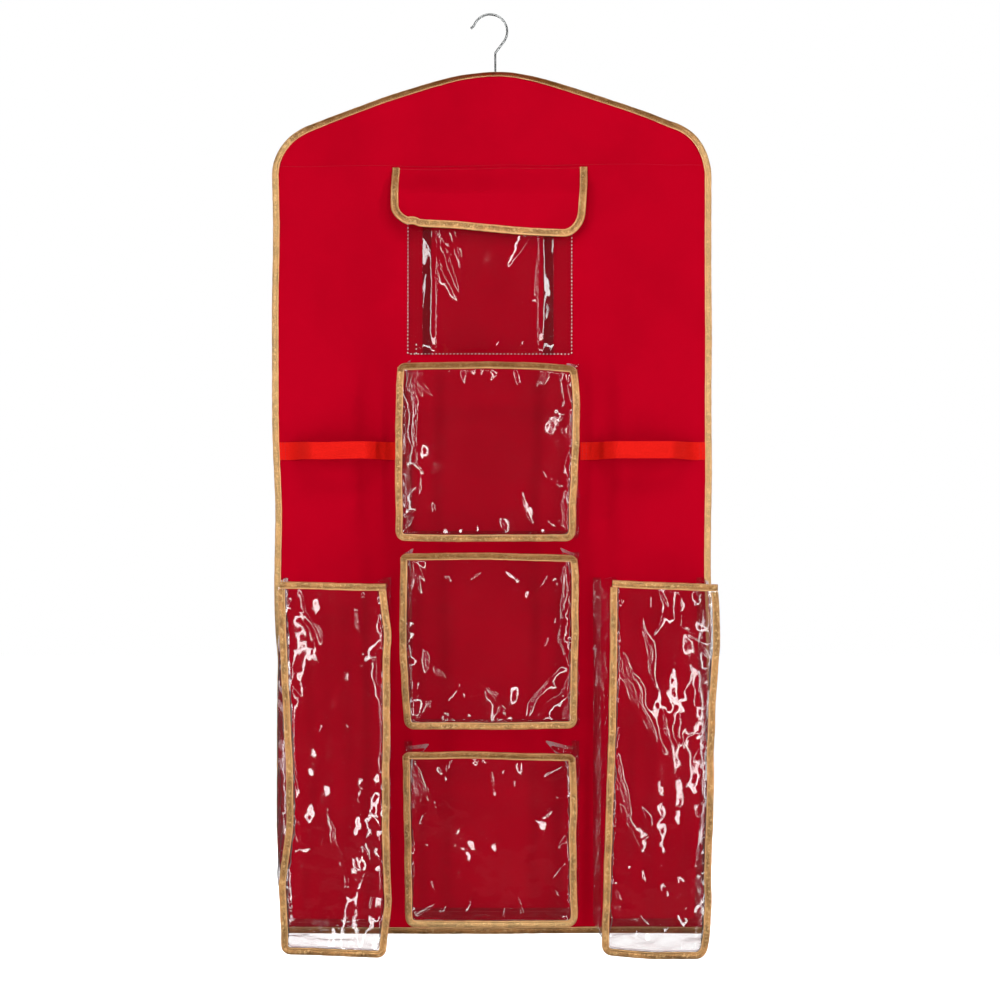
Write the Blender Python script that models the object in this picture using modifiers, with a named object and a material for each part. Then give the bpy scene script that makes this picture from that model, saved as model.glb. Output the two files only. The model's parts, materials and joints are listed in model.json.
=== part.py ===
"""Hanging gift wrap organizer: a fabric panel on a swivel-hook hanger, with clear vinyl pockets.

Metres, +Z up. The front faces -Y. The origin is the point inside the hook's crown that bears on
a closet rod. The panel, the pockets and the hanger bar are parented to an empty on the swivel axis.
The panel's front face lies in the plane Y = 0.
"""

import itertools
import math

import bmesh
import bpy
from mathutils import Vector

# Sheet goods and the clearance between pieces that touch
FABRIC = 0.0008
VINYL = 0.0005
TAPE = 0.0008
ELASTIC = 0.0012
HOOK_AND_LOOP = 0.001
GAP = 0.0003
CUT_OVERRUN = 0.004
MERGE_SHARE = 0.1
WELD_SHARE = 0.01
CORNER_STEPS = 5
OUTLINE_STEPS = 12
ROD_SIDES = 32
EDGE_BEVEL_STEPS = 1
SMOOTH_ANGLE = math.radians(40)

# Panel outline, measured over the gold binding
PANEL_WIDTH = 0.616
PANEL_HEIGHT = 1.208
PANEL_TOP = -0.0797
SHOULDER_SLOPE = math.radians(19.2)
PEAK_RADIUS = 0.3
SHOULDER_RADIUS = 0.078
PANEL_CORNER_RADIUS = 0.014
BINDING_LEG = 0.0095

# Hook of bright steel wire
WIRE = 0.0032
HOOK_RADIUS = 0.024
HOOK_REACH = 0.0073
HOOK_BEND_DROP = 0.0525
HOOK_BEND_RADIUS = 0.005
HOOK_ARC_END = math.radians(160)
HOOK_FLARE = 0.0065
HOOK_FLARE_ANGLE = math.radians(222)
HOOK_TIP_RADIUS = 0.0023
HOOK_TIP_SHARES = ((1.4, 0.9), (0.9, 1), (0.4, 0.85), (0, 0.4))
HOOK_BEND_STEPS = 4
HOOK_SWEEP_STEPS = 30
HOOK_BEVEL_STEPS = 5
STEM_HEAD_RADIUS = 0.0026
STEM_HEAD = 0.0016
STEM_LEDGE_SHARE = 0.1
WASHER_RADIUS = 0.0031
WASHER = 0.001

# Moulded hanger bar inside the sleeve at the panel's top
BAR_THICKNESS = 0.0064
BAR_HEIGHT = 0.018
BAR_INSET = 0.024
BAR_LENGTH = 0.5
BAR_EDGE_BEVEL = 0.0008
BAR_SLIP = 0.0046
HUB_WIDTH = 0.03
HUB_DROP = 0.01
HUB_SHOULDER = 0.008
BAR_RIM = 0.003
BAR_RECESS = 0.0036
BAR_RIB = 0.0022
RIBS_PER_ARM = 5
BAR_STEPS = 12
BAR_TIP_STEPS = 8
BAR_BAND_STEPS = 8

# Fabric yoke at the back that closes the hanger sleeve
SLEEVE_SEAM = -0.212
YOKE_SLOPE_RUN = 0.011

# Clear box pockets in the middle of the panel
BOX_COUNT = 3
BOX_TOP = -0.491
BOX_PITCH = 0.264
BOX_WIDTH = 0.245
BOX_HEIGHT = 0.243
BOX_DEPTH = 0.06
BOX_SPREAD = 0.0
BOX_BACK_RISE = 0.002

# Clear roll pockets along both sides
ROLL_HEIGHT = 0.5011
ROLL_HANG = 0.0029
ROLL_TO_BOX = 0.019
ROLL_DEPTH = 0.09
ROLL_SPREAD = 0.0045
ROLL_BACK_RISE = 0.001

# Seams shared by all the box-shaped pockets
FIN = 0.01
FIN_CORNER_RADIUS = 0.013
WALL_CORNER_RADIUS = 0.006
BACK_FLANGE = 0.011
FLANGE_CORNER_RADIUS = 0.002

# Flat pleated pocket under the flap
PLEAT_POCKET_WIDTH = 0.232
PLEAT_MOUTH_CLEARANCE = 0.002
PLEAT_POCKET_BOTTOM = -0.47
PLEAT_POCKET_DEPTH = 0.01
PLEAT_INNER_FOLD = 0.029
PLEAT_OUTER_FOLD = 0.016
PLEAT_SHOULDER = 0.042
PLEAT_LAYER = 0.0011
PLEAT_OPENS_OVER = 0.03
PLEAT_FOOT_STEPS = 4

# Fabric flap over the pleated pocket
FLAP_WIDTH = 0.273
FLAP_DROP = 0.093
FLAP_CORNER_RADIUS = 0.032
FLAP_BINDING_LEG = 0.0105
FLAP_CURVE_DROP = 0.042
FLAP_CURVE_STEPS = 6
FLAP_CORNER_STEPS = 7
FLAP_EDGE_STEPS = 6
FLAP_WIDTH_SHARES = (-1, -0.75, -0.5, -0.25, 0, 0.25, 0.5, 0.75, 1)
CLOSURE_WIDTH = 0.1
CLOSURE_HEIGHT = 0.018
CLOSURE_BELOW_MOUTH = 0.008

# Elastic straps that hold tall rolls upright
STRAP_ABOVE_MOUTH = 0.178
STRAP_WIDTH = 0.025
STRAP_DEPTH = 0.045
STRAP_FOOT = 0.011
STRAP_RAMP_OUTER = 0.026
STRAP_RAMP_INNER = 0.02
STRAP_BEND_STEPS = 4

# Heights and half widths that several pieces share
PANEL_HALF = PANEL_WIDTH / 2
PANEL_BOTTOM = PANEL_TOP - PANEL_HEIGHT
PEAK_CENTRE = PANEL_TOP - PEAK_RADIUS
PANEL_BACK = FABRIC
ROLL_OUTER = PANEL_HALF - BINDING_LEG - GAP - VINYL / 2
ROLL_INNER = BOX_WIDTH / 2 + BOX_SPREAD + ROLL_TO_BOX
ROLL_CENTRE = (ROLL_OUTER + ROLL_INNER) / 2
ROLL_WIDTH = ROLL_OUTER - ROLL_INNER - 2 * ROLL_SPREAD
ROLL_BOTTOM = PANEL_BOTTOM - ROLL_HANG
ROLL_TOP = ROLL_BOTTOM + ROLL_HEIGHT
STRAP_CENTRE = ROLL_TOP + STRAP_ABOVE_MOUTH
BAR_FRONT = PANEL_BACK + GAP
STEM_Y = BAR_FRONT + BAR_THICKNESS / 2
YOKE_BORDER_Y = PANEL_BACK + GAP + FABRIC / 2
YOKE_RAISED_Y = BAR_FRONT + BAR_THICKNESS + GAP + FABRIC / 2
HUB_BOTTOM = PANEL_TOP - BAR_INSET - BAR_HEIGHT - HUB_DROP
PLEAT_POCKET_TOP = SLEEVE_SEAM - FLAP_CURVE_DROP - PLEAT_MOUTH_CLEARANCE
FLAP_SEAM_Y = -(GAP + TAPE + GAP + FABRIC / 2)
FLAP_CLOSED_Y = -(PLEAT_POCKET_DEPTH + VINYL / 2 + (HOOK_AND_LOOP + GAP) * 2 + GAP + FABRIC / 2)

RED = (0.53, 0.001, 0.009, 1.0)
BRIGHT_RED = (0.78, 0.02, 0.012, 1.0)
GOLD = (0.46, 0.24, 0.06, 1.0)
CLEAR = (0.9, 0.92, 0.93, 0.25)
STEEL = (0.72, 0.72, 0.72, 1.0)
MOULDED_WHITE = (0.82, 0.82, 0.80, 1.0)


def material(name, colour, roughness, metallic=0.0):
    """A Principled material with the piece's colour, roughness and metallic value."""
    made = bpy.data.materials.new(name)
    made.use_nodes = True
    shader = made.node_tree.nodes["Principled BSDF"]
    shader.inputs["Base Color"].default_value = colour
    shader.inputs["Roughness"].default_value = roughness
    shader.inputs["Metallic"].default_value = metallic
    shader.inputs["Alpha"].default_value = colour[3]
    made.diffuse_color = colour
    return made


def start():
    """Clears the scene and makes the collections, the materials and the swivel empty."""
    for old in list(bpy.data.objects):
        bpy.data.objects.remove(old)
    for name in ("gift_wrap_organizer", "cutters"):
        bpy.context.scene.collection.children.link(bpy.data.collections.new(name))
    swivel = bpy.data.objects.new("swivel_axis", None)
    swivel.location.x = HOOK_REACH
    bpy.data.collections["gift_wrap_organizer"].objects.link(swivel)
    finishes = {
        "red_fabric": material("red_fabric", RED, 0.75),
        "red_elastic": material("red_elastic", BRIGHT_RED, 0.6),
        "gold_tape": material("gold_tape", GOLD, 0.4, 0.45),
        "clear_vinyl": material("clear_vinyl", CLEAR, 0.08),
        "bright_steel": material("bright_steel", STEEL, 0.18, 1.0),
        "hanger_plastic": material("hanger_plastic", MOULDED_WHITE, 0.45),
    }
    return swivel, finishes


def place(obj, finish, parent=None, slip=0):
    """Puts a finished piece and its cutters under their parent; the piece is slid left by the slip."""
    for old in list(obj.users_collection):
        old.objects.unlink(obj)
    bpy.data.collections["gift_wrap_organizer"].objects.link(obj)
    obj.data.materials.clear()
    obj.data.materials.append(finish)
    obj.parent = parent
    for modifier in obj.modifiers:
        if modifier.type == "BOOLEAN":
            modifier.object.parent = parent
    obj.location.x -= slip
    return obj


def sew(obj, finish, swivel):
    """Places a piece of the panel, whose middle lies the bar's slip to the left of the swivel axis."""
    return place(obj, finish, swivel, BAR_SLIP)


def new_object(name, data):
    obj = bpy.data.objects.new(name, data)
    bpy.context.scene.collection.objects.link(obj)
    return obj


def loft(name, rails, thickness, closed=False, capped=False):
    """A sheet through rails, which are lists of points of equal length, thickened about its middle.

    A closed sheet's rails are rings. A capped one has a flat face over its last ring.
    """
    bm = bmesh.new()
    bmesh.ops.create_grid(bm, x_segments=len(rails[0]) - 1, y_segments=len(rails) - 1, size=thickness)
    for vert, point in zip(bm.verts, itertools.chain(*rails)):
        vert.co = point
    if closed:
        bmesh.ops.remove_doubles(bm, verts=bm.verts, dist=GAP * MERGE_SHARE)
    if capped:
        last = {Vector(point).freeze() for point in rails[-1]}
        rim = [e for e in bm.edges if e.is_boundary and all(v.co.copy().freeze() in last for v in e.verts)]
        bmesh.ops.contextual_create(bm, geom=rim)
    mesh = bpy.data.meshes.new(name)
    bm.to_mesh(mesh)
    bm.free()
    obj = new_object(name, mesh)
    wall = obj.modifiers.new("wall", "SOLIDIFY")
    wall.thickness = thickness
    wall.offset = 0
    wall.use_even_offset = True
    return obj


def baked(obj):
    """The object with its modifiers, or its curve, turned into one closed mesh."""
    graph = bpy.context.evaluated_depsgraph_get()
    mesh = bpy.data.meshes.new_from_object(obj.evaluated_get(graph))
    bm = bmesh.new()
    bm.from_mesh(mesh)
    bmesh.ops.remove_doubles(bm, verts=bm.verts, dist=GAP * WELD_SHARE)
    bm.to_mesh(mesh)
    bm.free()
    name, matrix = obj.name, obj.matrix_world.copy()
    bpy.data.objects.remove(obj)
    made = new_object(name, mesh)
    made.matrix_world = matrix
    return made


def plate(name, outline, front, thickness, edge=0):
    """A flat piece in the XZ plane from its outline, its front face at the given Y, its edges rounded."""
    curve = bpy.data.curves.new(name, "CURVE")
    curve.dimensions = "2D"
    curve.fill_mode = "BOTH"
    curve.extrude = thickness / 2 - edge
    curve.bevel_depth = edge
    curve.bevel_resolution = EDGE_BEVEL_STEPS
    curve.offset = -edge
    spline = curve.splines.new("POLY")
    spline.points.add(len(outline) - 1)
    for point, (x, z) in zip(spline.points, outline):
        point.co = (x, z, 0, 1)
    spline.use_cyclic_u = True
    obj = new_object(name, curve)
    obj.rotation_euler.x = math.radians(90)
    obj.location.y = front + thickness / 2
    bpy.context.view_layer.update()
    return baked(obj)


def rod(name, radius, bottom, top, y):
    """An upright cylinder on the swivel axis, at the given Y."""
    bpy.ops.mesh.primitive_cylinder_add(
        vertices=ROD_SIDES, radius=radius, depth=top - bottom, location=(0, y, (top + bottom) / 2)
    )
    obj = bpy.context.object
    obj.name = name
    return obj


def cut(obj, cutter):
    """Cuts one piece with a cutter, which stays in the file as a wire guide."""
    for old in list(cutter.users_collection):
        old.objects.unlink(cutter)
    bpy.data.collections["cutters"].objects.link(cutter)
    cutter.hide_render = True
    cutter.display_type = "WIRE"
    difference = obj.modifiers.new("cut", "BOOLEAN")
    difference.operation = "DIFFERENCE"
    difference.object = cutter
    return obj


def arc(cx, cz, radius, start, end, steps=CORNER_STEPS):
    """Points of an arc in the XZ plane, both ends included."""
    return [
        (
            cx + radius * math.cos(start + (end - start) * i / steps),
            cz + radius * math.sin(start + (end - start) * i / steps),
        )
        for i in range(steps + 1)
    ]


def panel_arcs():
    """The rounded corners of the panel, clockwise from its peak: centre, radius and the normals' span."""
    shoulder_x = PANEL_HALF - SHOULDER_RADIUS
    shoulder_z = (
        math.cos(SHOULDER_SLOPE) * PEAK_CENTRE
        + PEAK_RADIUS
        - SHOULDER_RADIUS
        - math.sin(SHOULDER_SLOPE) * shoulder_x
    ) / math.cos(SHOULDER_SLOPE)
    corner_x = PANEL_HALF - PANEL_CORNER_RADIUS
    corner_z = PANEL_BOTTOM + PANEL_CORNER_RADIUS
    up, side = math.pi / 2, math.pi / 2 - SHOULDER_SLOPE
    return [
        (0, PEAK_CENTRE, PEAK_RADIUS, up, side),
        (shoulder_x, shoulder_z, SHOULDER_RADIUS, side, 0),
        (corner_x, corner_z, PANEL_CORNER_RADIUS, 0, -up),
        (-corner_x, corner_z, PANEL_CORNER_RADIUS, -up, -2 * up),
        (-shoulder_x, shoulder_z, SHOULDER_RADIUS, 2 * up, 2 * up - side),
        (0, PEAK_CENTRE, PEAK_RADIUS, 2 * up - side, up),
    ]


def panel_outline(inset):
    """The panel's outline, drawn in by the inset all round."""
    points = []
    for cx, cz, radius, start, end in panel_arcs():
        points += arc(cx, cz, radius - inset, start, end, OUTLINE_STEPS)
    return points


def slope_height(x, inset):
    """Height of the panel's roof line at x, drawn in by the inset, without its shoulder arcs."""
    radius = PEAK_RADIUS - inset
    if abs(x) < radius * math.sin(SHOULDER_SLOPE):
        return PEAK_CENTRE + math.sqrt(radius**2 - x**2)
    flat = math.cos(SHOULDER_SLOPE) * PEAK_CENTRE + radius
    return (flat - math.sin(SHOULDER_SLOPE) * abs(x)) / math.cos(SHOULDER_SLOPE)


def make_panel(swivel, finishes):
    """The main fabric sheet and the gold tape folded over its edge, notched for the hook's stem."""
    edge = TAPE + GAP
    outline = panel_outline(edge)
    sew(plate("main_panel", outline[:-1], 0, FABRIC), finishes["red_fabric"], swivel)
    front = -(GAP + TAPE / 2)
    back = YOKE_BORDER_Y + FABRIC / 2 + GAP + TAPE / 2
    section = [(BINDING_LEG, front), (TAPE / 2, front), (TAPE / 2, back), (BINDING_LEG, back)]
    rails = [[(x, y, z) for x, z in panel_outline(inset)] for inset, y in section]
    binding = baked(loft("edge_binding", rails, TAPE, closed=True))
    notch = rod(
        "stem_notch", WIRE / 2 + GAP, PANEL_TOP - BINDING_LEG - CUT_OVERRUN, PANEL_TOP + CUT_OVERRUN, STEM_Y
    )
    sew(cut(binding, notch), finishes["gold_tape"], swivel)


def yoke_ring(inset, y):
    """The yoke's outline drawn in by the inset: the panel's roof, closed along the sleeve's seam."""
    seam = SLEEVE_SEAM + inset
    _, cz, radius, side, _ = panel_arcs()[1]
    end = math.asin(max(seam - cz, 0) / (radius - inset))
    half = []
    for (cx, cz, radius, start, _), stop in zip(panel_arcs()[:2], (side, end)):
        half += arc(cx, cz, radius - inset, start, stop, OUTLINE_STEPS)
    half.append((half[-1][0], seam))
    ring = [(-x, z) for x, z in reversed(half)] + half[1:]
    return [(x, y, z) for x, z in ring + ring[:1]]


def make_yoke(swivel, finishes):
    """The sheet that closes the hanger sleeve: its border lies on the panel, its middle stands off."""
    edge = TAPE + GAP
    rings = [
        yoke_ring(edge, YOKE_BORDER_Y),
        yoke_ring(edge + BINDING_LEG, YOKE_BORDER_Y),
        yoke_ring(edge + BINDING_LEG + YOKE_SLOPE_RUN, YOKE_RAISED_Y),
    ]
    yoke = baked(loft("back_yoke", rings, FABRIC, closed=True, capped=True))
    slit = rod("stem_slit", WIRE / 2 + GAP, PANEL_TOP - BAR_INSET, PANEL_TOP + CUT_OVERRUN, STEM_Y)
    sew(cut(yoke, slit), finishes["red_fabric"], swivel)


def bar_band(start, end, top_inset, bottom_inset):
    """Outline of a band of the hanger bar between two places along it."""
    stops = [start + (end - start) * i / BAR_BAND_STEPS for i in range(BAR_BAND_STEPS + 1)]
    upper = [(x, slope_height(x, top_inset)) for x in stops]
    lower = [(x, slope_height(x, bottom_inset)) for x in reversed(stops)]
    return upper + lower


def make_hanger_bar(swivel, finishes):
    """The moulded bar: an arched beam with round tips, a bored hub, and a ribbed recess in its back."""
    tip = BAR_HEIGHT / 2
    end = BAR_LENGTH / 2 - tip
    tip_z = slope_height(end, BAR_INSET + tip)
    stops = [end * i / BAR_STEPS for i in range(-BAR_STEPS, BAR_STEPS + 1)]
    upper = [(x, slope_height(x, BAR_INSET)) for x in stops]
    lower = [(x, slope_height(x, BAR_INSET + BAR_HEIGHT)) for x in stops if abs(x) > HUB_WIDTH / 2]
    hub = [
        (-HUB_WIDTH / 2, slope_height(HUB_WIDTH / 2, BAR_INSET + BAR_HEIGHT)),
        (-HUB_WIDTH / 2 + HUB_SHOULDER, HUB_BOTTOM),
        (HUB_WIDTH / 2 - HUB_SHOULDER, HUB_BOTTOM),
        (HUB_WIDTH / 2, slope_height(HUB_WIDTH / 2, BAR_INSET + BAR_HEIGHT)),
    ]
    quarter = math.pi / 2
    right_tip = arc(end, tip_z, tip, quarter - SHOULDER_SLOPE, -quarter - SHOULDER_SLOPE, BAR_TIP_STEPS)
    left_tip = [(-x, z) for x, z in reversed(right_tip)]
    right_lower = [p for p in lower if 0 < p[0] < end]
    left_lower = [p for p in lower if -end < p[0] < 0]
    outline = upper[1:-1] + right_tip + right_lower[::-1] + hub[::-1] + left_lower[::-1] + left_tip
    bar = plate("hanger_bar", outline, BAR_FRONT, BAR_THICKNESS, BAR_EDGE_BEVEL)
    first = HUB_WIDTH / 2
    bay = (end - first) / RIBS_PER_ARM
    for side in (-1, 1):
        for i in range(RIBS_PER_ARM):
            near = first + bay * i + BAR_RIB / 2
            far = first + bay * (i + 1) - BAR_RIB / 2
            band = bar_band(side * near, side * far, BAR_INSET + BAR_RIM, BAR_INSET + BAR_HEIGHT - BAR_RIM)
            recess = plate(
                f"recess_{'left' if side < 0 else 'right'}_{i + 1}",
                band,
                BAR_FRONT + BAR_THICKNESS - BAR_RECESS,
                BAR_RECESS + CUT_OVERRUN,
            )
            cut(bar, recess)
    bore = rod("stem_bore", WIRE / 2 + GAP, HUB_BOTTOM - CUT_OVERRUN, PANEL_TOP, STEM_Y)
    place(cut(bar, bore), finishes["hanger_plastic"], swivel)


def hook_centre_line():
    """Points and radii along the hook's wire, from the head under the hub up to the tip."""
    stem_x = HOOK_REACH
    centre_z = WIRE / 2 - HOOK_RADIUS
    bend_z = -HOOK_BEND_DROP
    to_centre = math.atan2(bend_z - centre_z, stem_x)
    reach = math.hypot(stem_x, bend_z - centre_z)
    leave = to_centre + math.acos(HOOK_RADIUS / reach)
    tangent = (HOOK_RADIUS * math.cos(leave), centre_z + HOOK_RADIUS * math.sin(leave))
    lean = math.atan2(tangent[1] - bend_z, tangent[0] - stem_x)
    turn = math.pi / 2 - lean
    setback = HOOK_BEND_RADIUS * math.tan(turn / 2)
    head_top = HUB_BOTTOM - GAP - WASHER - GAP
    wire_r = WIRE / 2
    line = [
        (stem_x, head_top - STEM_HEAD, STEM_HEAD_RADIUS),
        (stem_x, head_top - STEM_HEAD * STEM_LEDGE_SHARE, STEM_HEAD_RADIUS),
        (stem_x, head_top, wire_r),
    ]
    bend_x = stem_x + HOOK_BEND_RADIUS
    bend = arc(
        bend_x, bend_z - setback, HOOK_BEND_RADIUS, math.pi, math.pi - turn, HOOK_BEND_STEPS
    )
    line += [(x, z, wire_r) for x, z in bend]
    sweep = arc(0, centre_z, HOOK_RADIUS, leave, HOOK_ARC_END, HOOK_SWEEP_STEPS)
    line += [(x, z, wire_r) for x, z in sweep]
    x, z = sweep[-1]
    tip = [(HOOK_FLARE - 2 * HOOK_TIP_RADIUS, wire_r)]
    for back_share, radius_share in HOOK_TIP_SHARES:
        tip.append((HOOK_FLARE - back_share * HOOK_TIP_RADIUS, radius_share * HOOK_TIP_RADIUS))
    for along, radius in tip:
        line.append(
            (x + along * math.cos(HOOK_FLARE_ANGLE), z + along * math.sin(HOOK_FLARE_ANGLE), radius)
        )
    return line


def make_hook(finishes):
    """The swivel hook, one bent wire with a ball tip and a riveted head, and the washer it turns on."""
    line = hook_centre_line()
    curve = bpy.data.curves.new("hook", "CURVE")
    curve.dimensions = "3D"
    curve.bevel_depth = 1.0
    curve.bevel_resolution = HOOK_BEVEL_STEPS
    curve.use_fill_caps = True
    spline = curve.splines.new("POLY")
    spline.points.add(len(line) - 1)
    for point, (x, z, radius) in zip(spline.points, line):
        point.co = (x, STEM_Y, z, 1)
        point.radius = radius
    hook = baked(new_object("hook", curve))
    hook.data.shade_smooth()
    hook.data.set_sharp_from_angle(angle=SMOOTH_ANGLE)
    place(hook, finishes["bright_steel"])
    top = HUB_BOTTOM - GAP
    washer = rod("stem_washer", WASHER_RADIUS, top - WASHER, top, STEM_Y)
    hole = rod("washer_hole", WIRE / 2 + GAP, top - WASHER - CUT_OVERRUN, top + CUT_OVERRUN, STEM_Y)
    washer.location.x = hole.location.x = HOOK_REACH
    place(cut(washer, hole), finishes["bright_steel"])


def u_rail(box, radius, y, top=None):
    """A rail down the left side of a box, round its two lower corners and up the right side."""
    left, right, bottom, box_top = box
    top = box_top if top is None else top
    turn = math.pi / 2
    points = [(left, top)]
    points += arc(left + radius, bottom + radius, radius, 2 * turn, 3 * turn)
    points += arc(right - radius, bottom + radius, radius, 3 * turn, 4 * turn)
    points += [(right, top)]
    return [(x, y, z) for x, z in points]


def drawn_in(box, inset, bottom_inset=None):
    """A box of left, right, bottom and top with its sides and bottom moved in."""
    left, right, bottom, top = box
    return (
        left + inset,
        right - inset,
        bottom + (inset if bottom_inset is None else bottom_inset),
        top,
    )


def make_box_pocket(name, box, depth, spread, back_bottom_inset, back_rise, swivel, finishes):
    """A clear pocket: flat front, one wall strip round three sides, and tape on the edges and mouth.

    The box is the pocket's front edge measured over the tape. The wall strip is turned out at the
    front, where the tape holds it to the front sheet, and turned in at the back, on the panel.
    """
    edge = TAPE + GAP
    sheet_y = -depth
    flange_y = sheet_y + VINYL / 2 + GAP + VINYL / 2
    mouth = box[3] - BINDING_LEG - GAP
    front_box = drawn_in(box, edge)
    outline = [(x, z) for x, _, z in u_rail(front_box, FIN_CORNER_RADIUS - edge, 0, box[3] - edge)]
    front = plate(f"{name}_front", outline, sheet_y - VINYL / 2, VINYL)
    sew(front, finishes["clear_vinyl"], swivel)

    back_y = -(GAP + VINYL / 2)
    back_top = box[3] + back_rise
    back_box = drawn_in(box, -spread, back_bottom_inset)
    strip = [
        u_rail(drawn_in(box, edge), FIN_CORNER_RADIUS - edge, flange_y, mouth),
        u_rail(drawn_in(box, FIN), WALL_CORNER_RADIUS, flange_y, mouth),
        u_rail(back_box, WALL_CORNER_RADIUS, back_y, back_top),
        u_rail(drawn_in(back_box, BACK_FLANGE), FLANGE_CORNER_RADIUS, back_y, back_top),
    ]
    sew(loft(f"{name}_gusset", strip, VINYL), finishes["clear_vinyl"], swivel)

    tape_front = sheet_y - VINYL / 2 - GAP - TAPE / 2
    tape_back = flange_y + VINYL / 2 + GAP + TAPE / 2
    back_leg = FIN - VINYL / 2 - GAP
    radius = FIN_CORNER_RADIUS
    tape = [
        u_rail(drawn_in(box, BINDING_LEG), radius - BINDING_LEG, tape_front, mouth),
        u_rail(drawn_in(box, TAPE / 2), radius - TAPE / 2, tape_front, mouth),
        u_rail(drawn_in(box, TAPE / 2), radius - TAPE / 2, tape_back, mouth),
        u_rail(drawn_in(box, back_leg), radius - back_leg, tape_back, mouth),
    ]
    sew(loft(f"{name}_edge_tape", tape, TAPE), finishes["gold_tape"], swivel)

    mouth_back = sheet_y + VINYL / 2 + GAP + TAPE / 2
    fold = box[3] - TAPE / 2
    leg = box[3] - BINDING_LEG
    section = [(tape_front, leg), (tape_front, fold), (mouth_back, fold), (mouth_back, leg)]
    rails = [[(box[0], y, z), (box[1], y, z)] for y, z in section]
    sew(loft(f"{name}_mouth_tape", rails, TAPE), finishes["gold_tape"], swivel)


def make_pockets(swivel, finishes):
    """Three box pockets down the middle and a tall roll pocket along each side."""
    for i in range(BOX_COUNT):
        top = BOX_TOP - BOX_PITCH * i
        box = (-BOX_WIDTH / 2, BOX_WIDTH / 2, top - BOX_HEIGHT, top)
        make_box_pocket(
            f"box_pocket_{i + 1}", box, BOX_DEPTH, BOX_SPREAD, BOX_SPREAD, BOX_BACK_RISE, swivel, finishes
        )
    seam = PANEL_BOTTOM + BINDING_LEG + GAP + VINYL / 2
    for side, name in ((-1, "roll_pocket_left"), (1, "roll_pocket_right")):
        centre = side * ROLL_CENTRE
        box = (centre - ROLL_WIDTH / 2, centre + ROLL_WIDTH / 2, ROLL_BOTTOM, ROLL_TOP)
        make_box_pocket(
            name, box, ROLL_DEPTH, ROLL_SPREAD, seam - ROLL_BOTTOM, ROLL_BACK_RISE, swivel, finishes
        )


def pleat_section(opened):
    """Half of the pleated pocket's section, from its sewn edge to the middle, as (x, y).

    At 0 the pleat lies pressed flat on the panel, and at 1 the front stands at its full depth.
    """
    half = PLEAT_POCKET_WIDTH / 2
    sewn = -(GAP + VINYL / 2)
    fold = 2 * PLEAT_LAYER
    flat = [
        (half, sewn),
        (half - PLEAT_INNER_FOLD, sewn),
        (half - PLEAT_INNER_FOLD, sewn - PLEAT_LAYER),
        (half - PLEAT_OUTER_FOLD, sewn - PLEAT_LAYER),
        (half - PLEAT_OUTER_FOLD, sewn - fold),
        (half - PLEAT_INNER_FOLD, sewn - fold),
        (half - PLEAT_SHOULDER, sewn),
        (0, sewn),
    ]
    lift = PLEAT_POCKET_DEPTH + sewn
    full = [
        *flat[:4],
        (half - PLEAT_OUTER_FOLD, sewn - fold),
        (half - PLEAT_INNER_FOLD, sewn - fold - lift / 2),
        (half - PLEAT_SHOULDER, -PLEAT_POCKET_DEPTH),
        (0, -PLEAT_POCKET_DEPTH),
    ]
    return [
        (a[0] + (b[0] - a[0]) * opened, a[1] + (b[1] - a[1]) * opened) for a, b in zip(flat, full)
    ]


def make_pleated_pocket(swivel, finishes):
    """The flat clear pocket with a pressed pleat down each side, sewn shut along the bottom."""
    rails = []
    stops = [(PLEAT_POCKET_TOP, 1)]
    for i in range(PLEAT_FOOT_STEPS + 1):
        share = i / PLEAT_FOOT_STEPS
        height = PLEAT_POCKET_BOTTOM + PLEAT_OPENS_OVER * (1 - share)
        stops.append((height, math.cos(share * math.pi / 2)))
    for z, opened in stops:
        half = pleat_section(opened)
        row = [(-x, y, z) for x, y in half] + [(x, y, z) for x, y in reversed(half[:-1])]
        rails.append(row)
    sew(loft("pleated_pocket", rails, VINYL), finishes["clear_vinyl"], swivel)


def flap_profile():
    """The flap's hang below its seam, as (drop, y) from the seam: a curve out to its closed depth."""
    rows = []
    for i in range(FLAP_CURVE_STEPS + 1):
        share = i / FLAP_CURVE_STEPS
        ease = share * share * (3 - 2 * share)
        rows.append((FLAP_CURVE_DROP * share, (FLAP_CLOSED_Y - FLAP_SEAM_Y) * ease))
    return rows


def flap_half_width(drop, inset):
    """Half the flap's width at a drop below its seam, with the rounded lower corner drawn in."""
    half = FLAP_WIDTH / 2 - inset
    radius = FLAP_CORNER_RADIUS - inset
    below = drop - (FLAP_DROP - FLAP_CORNER_RADIUS)
    if below <= 0:
        return half
    return half - radius + math.sqrt(max(radius**2 - below**2, 0))


def flap_y(drop):
    """Y of the flap's middle surface at a drop below its seam, counted from the seam."""
    rows = flap_profile()
    for (d0, y0), (d1, y1) in zip(rows, rows[1:]):
        if drop <= d1:
            return y0 + (y1 - y0) * (drop - d0) / (d1 - d0)
    return FLAP_CLOSED_Y - FLAP_SEAM_Y


def flap_edge(inset):
    """The flap's edge down the left side, round the lower corners and up the right: (x, drop)."""
    radius = FLAP_CORNER_RADIUS - inset
    x = FLAP_WIDTH / 2 - FLAP_CORNER_RADIUS
    drop = FLAP_DROP - FLAP_CORNER_RADIUS
    side = [(-x - radius, FLAP_CURVE_DROP * i / FLAP_CURVE_STEPS) for i in range(FLAP_CURVE_STEPS + 1)]
    turn = math.pi / 2
    left = [(px, -pz) for px, pz in arc(-x, -drop, radius, 2 * turn, 3 * turn, FLAP_EDGE_STEPS)]
    half = side + left
    return half + [(-px, d) for px, d in reversed(half)]


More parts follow.
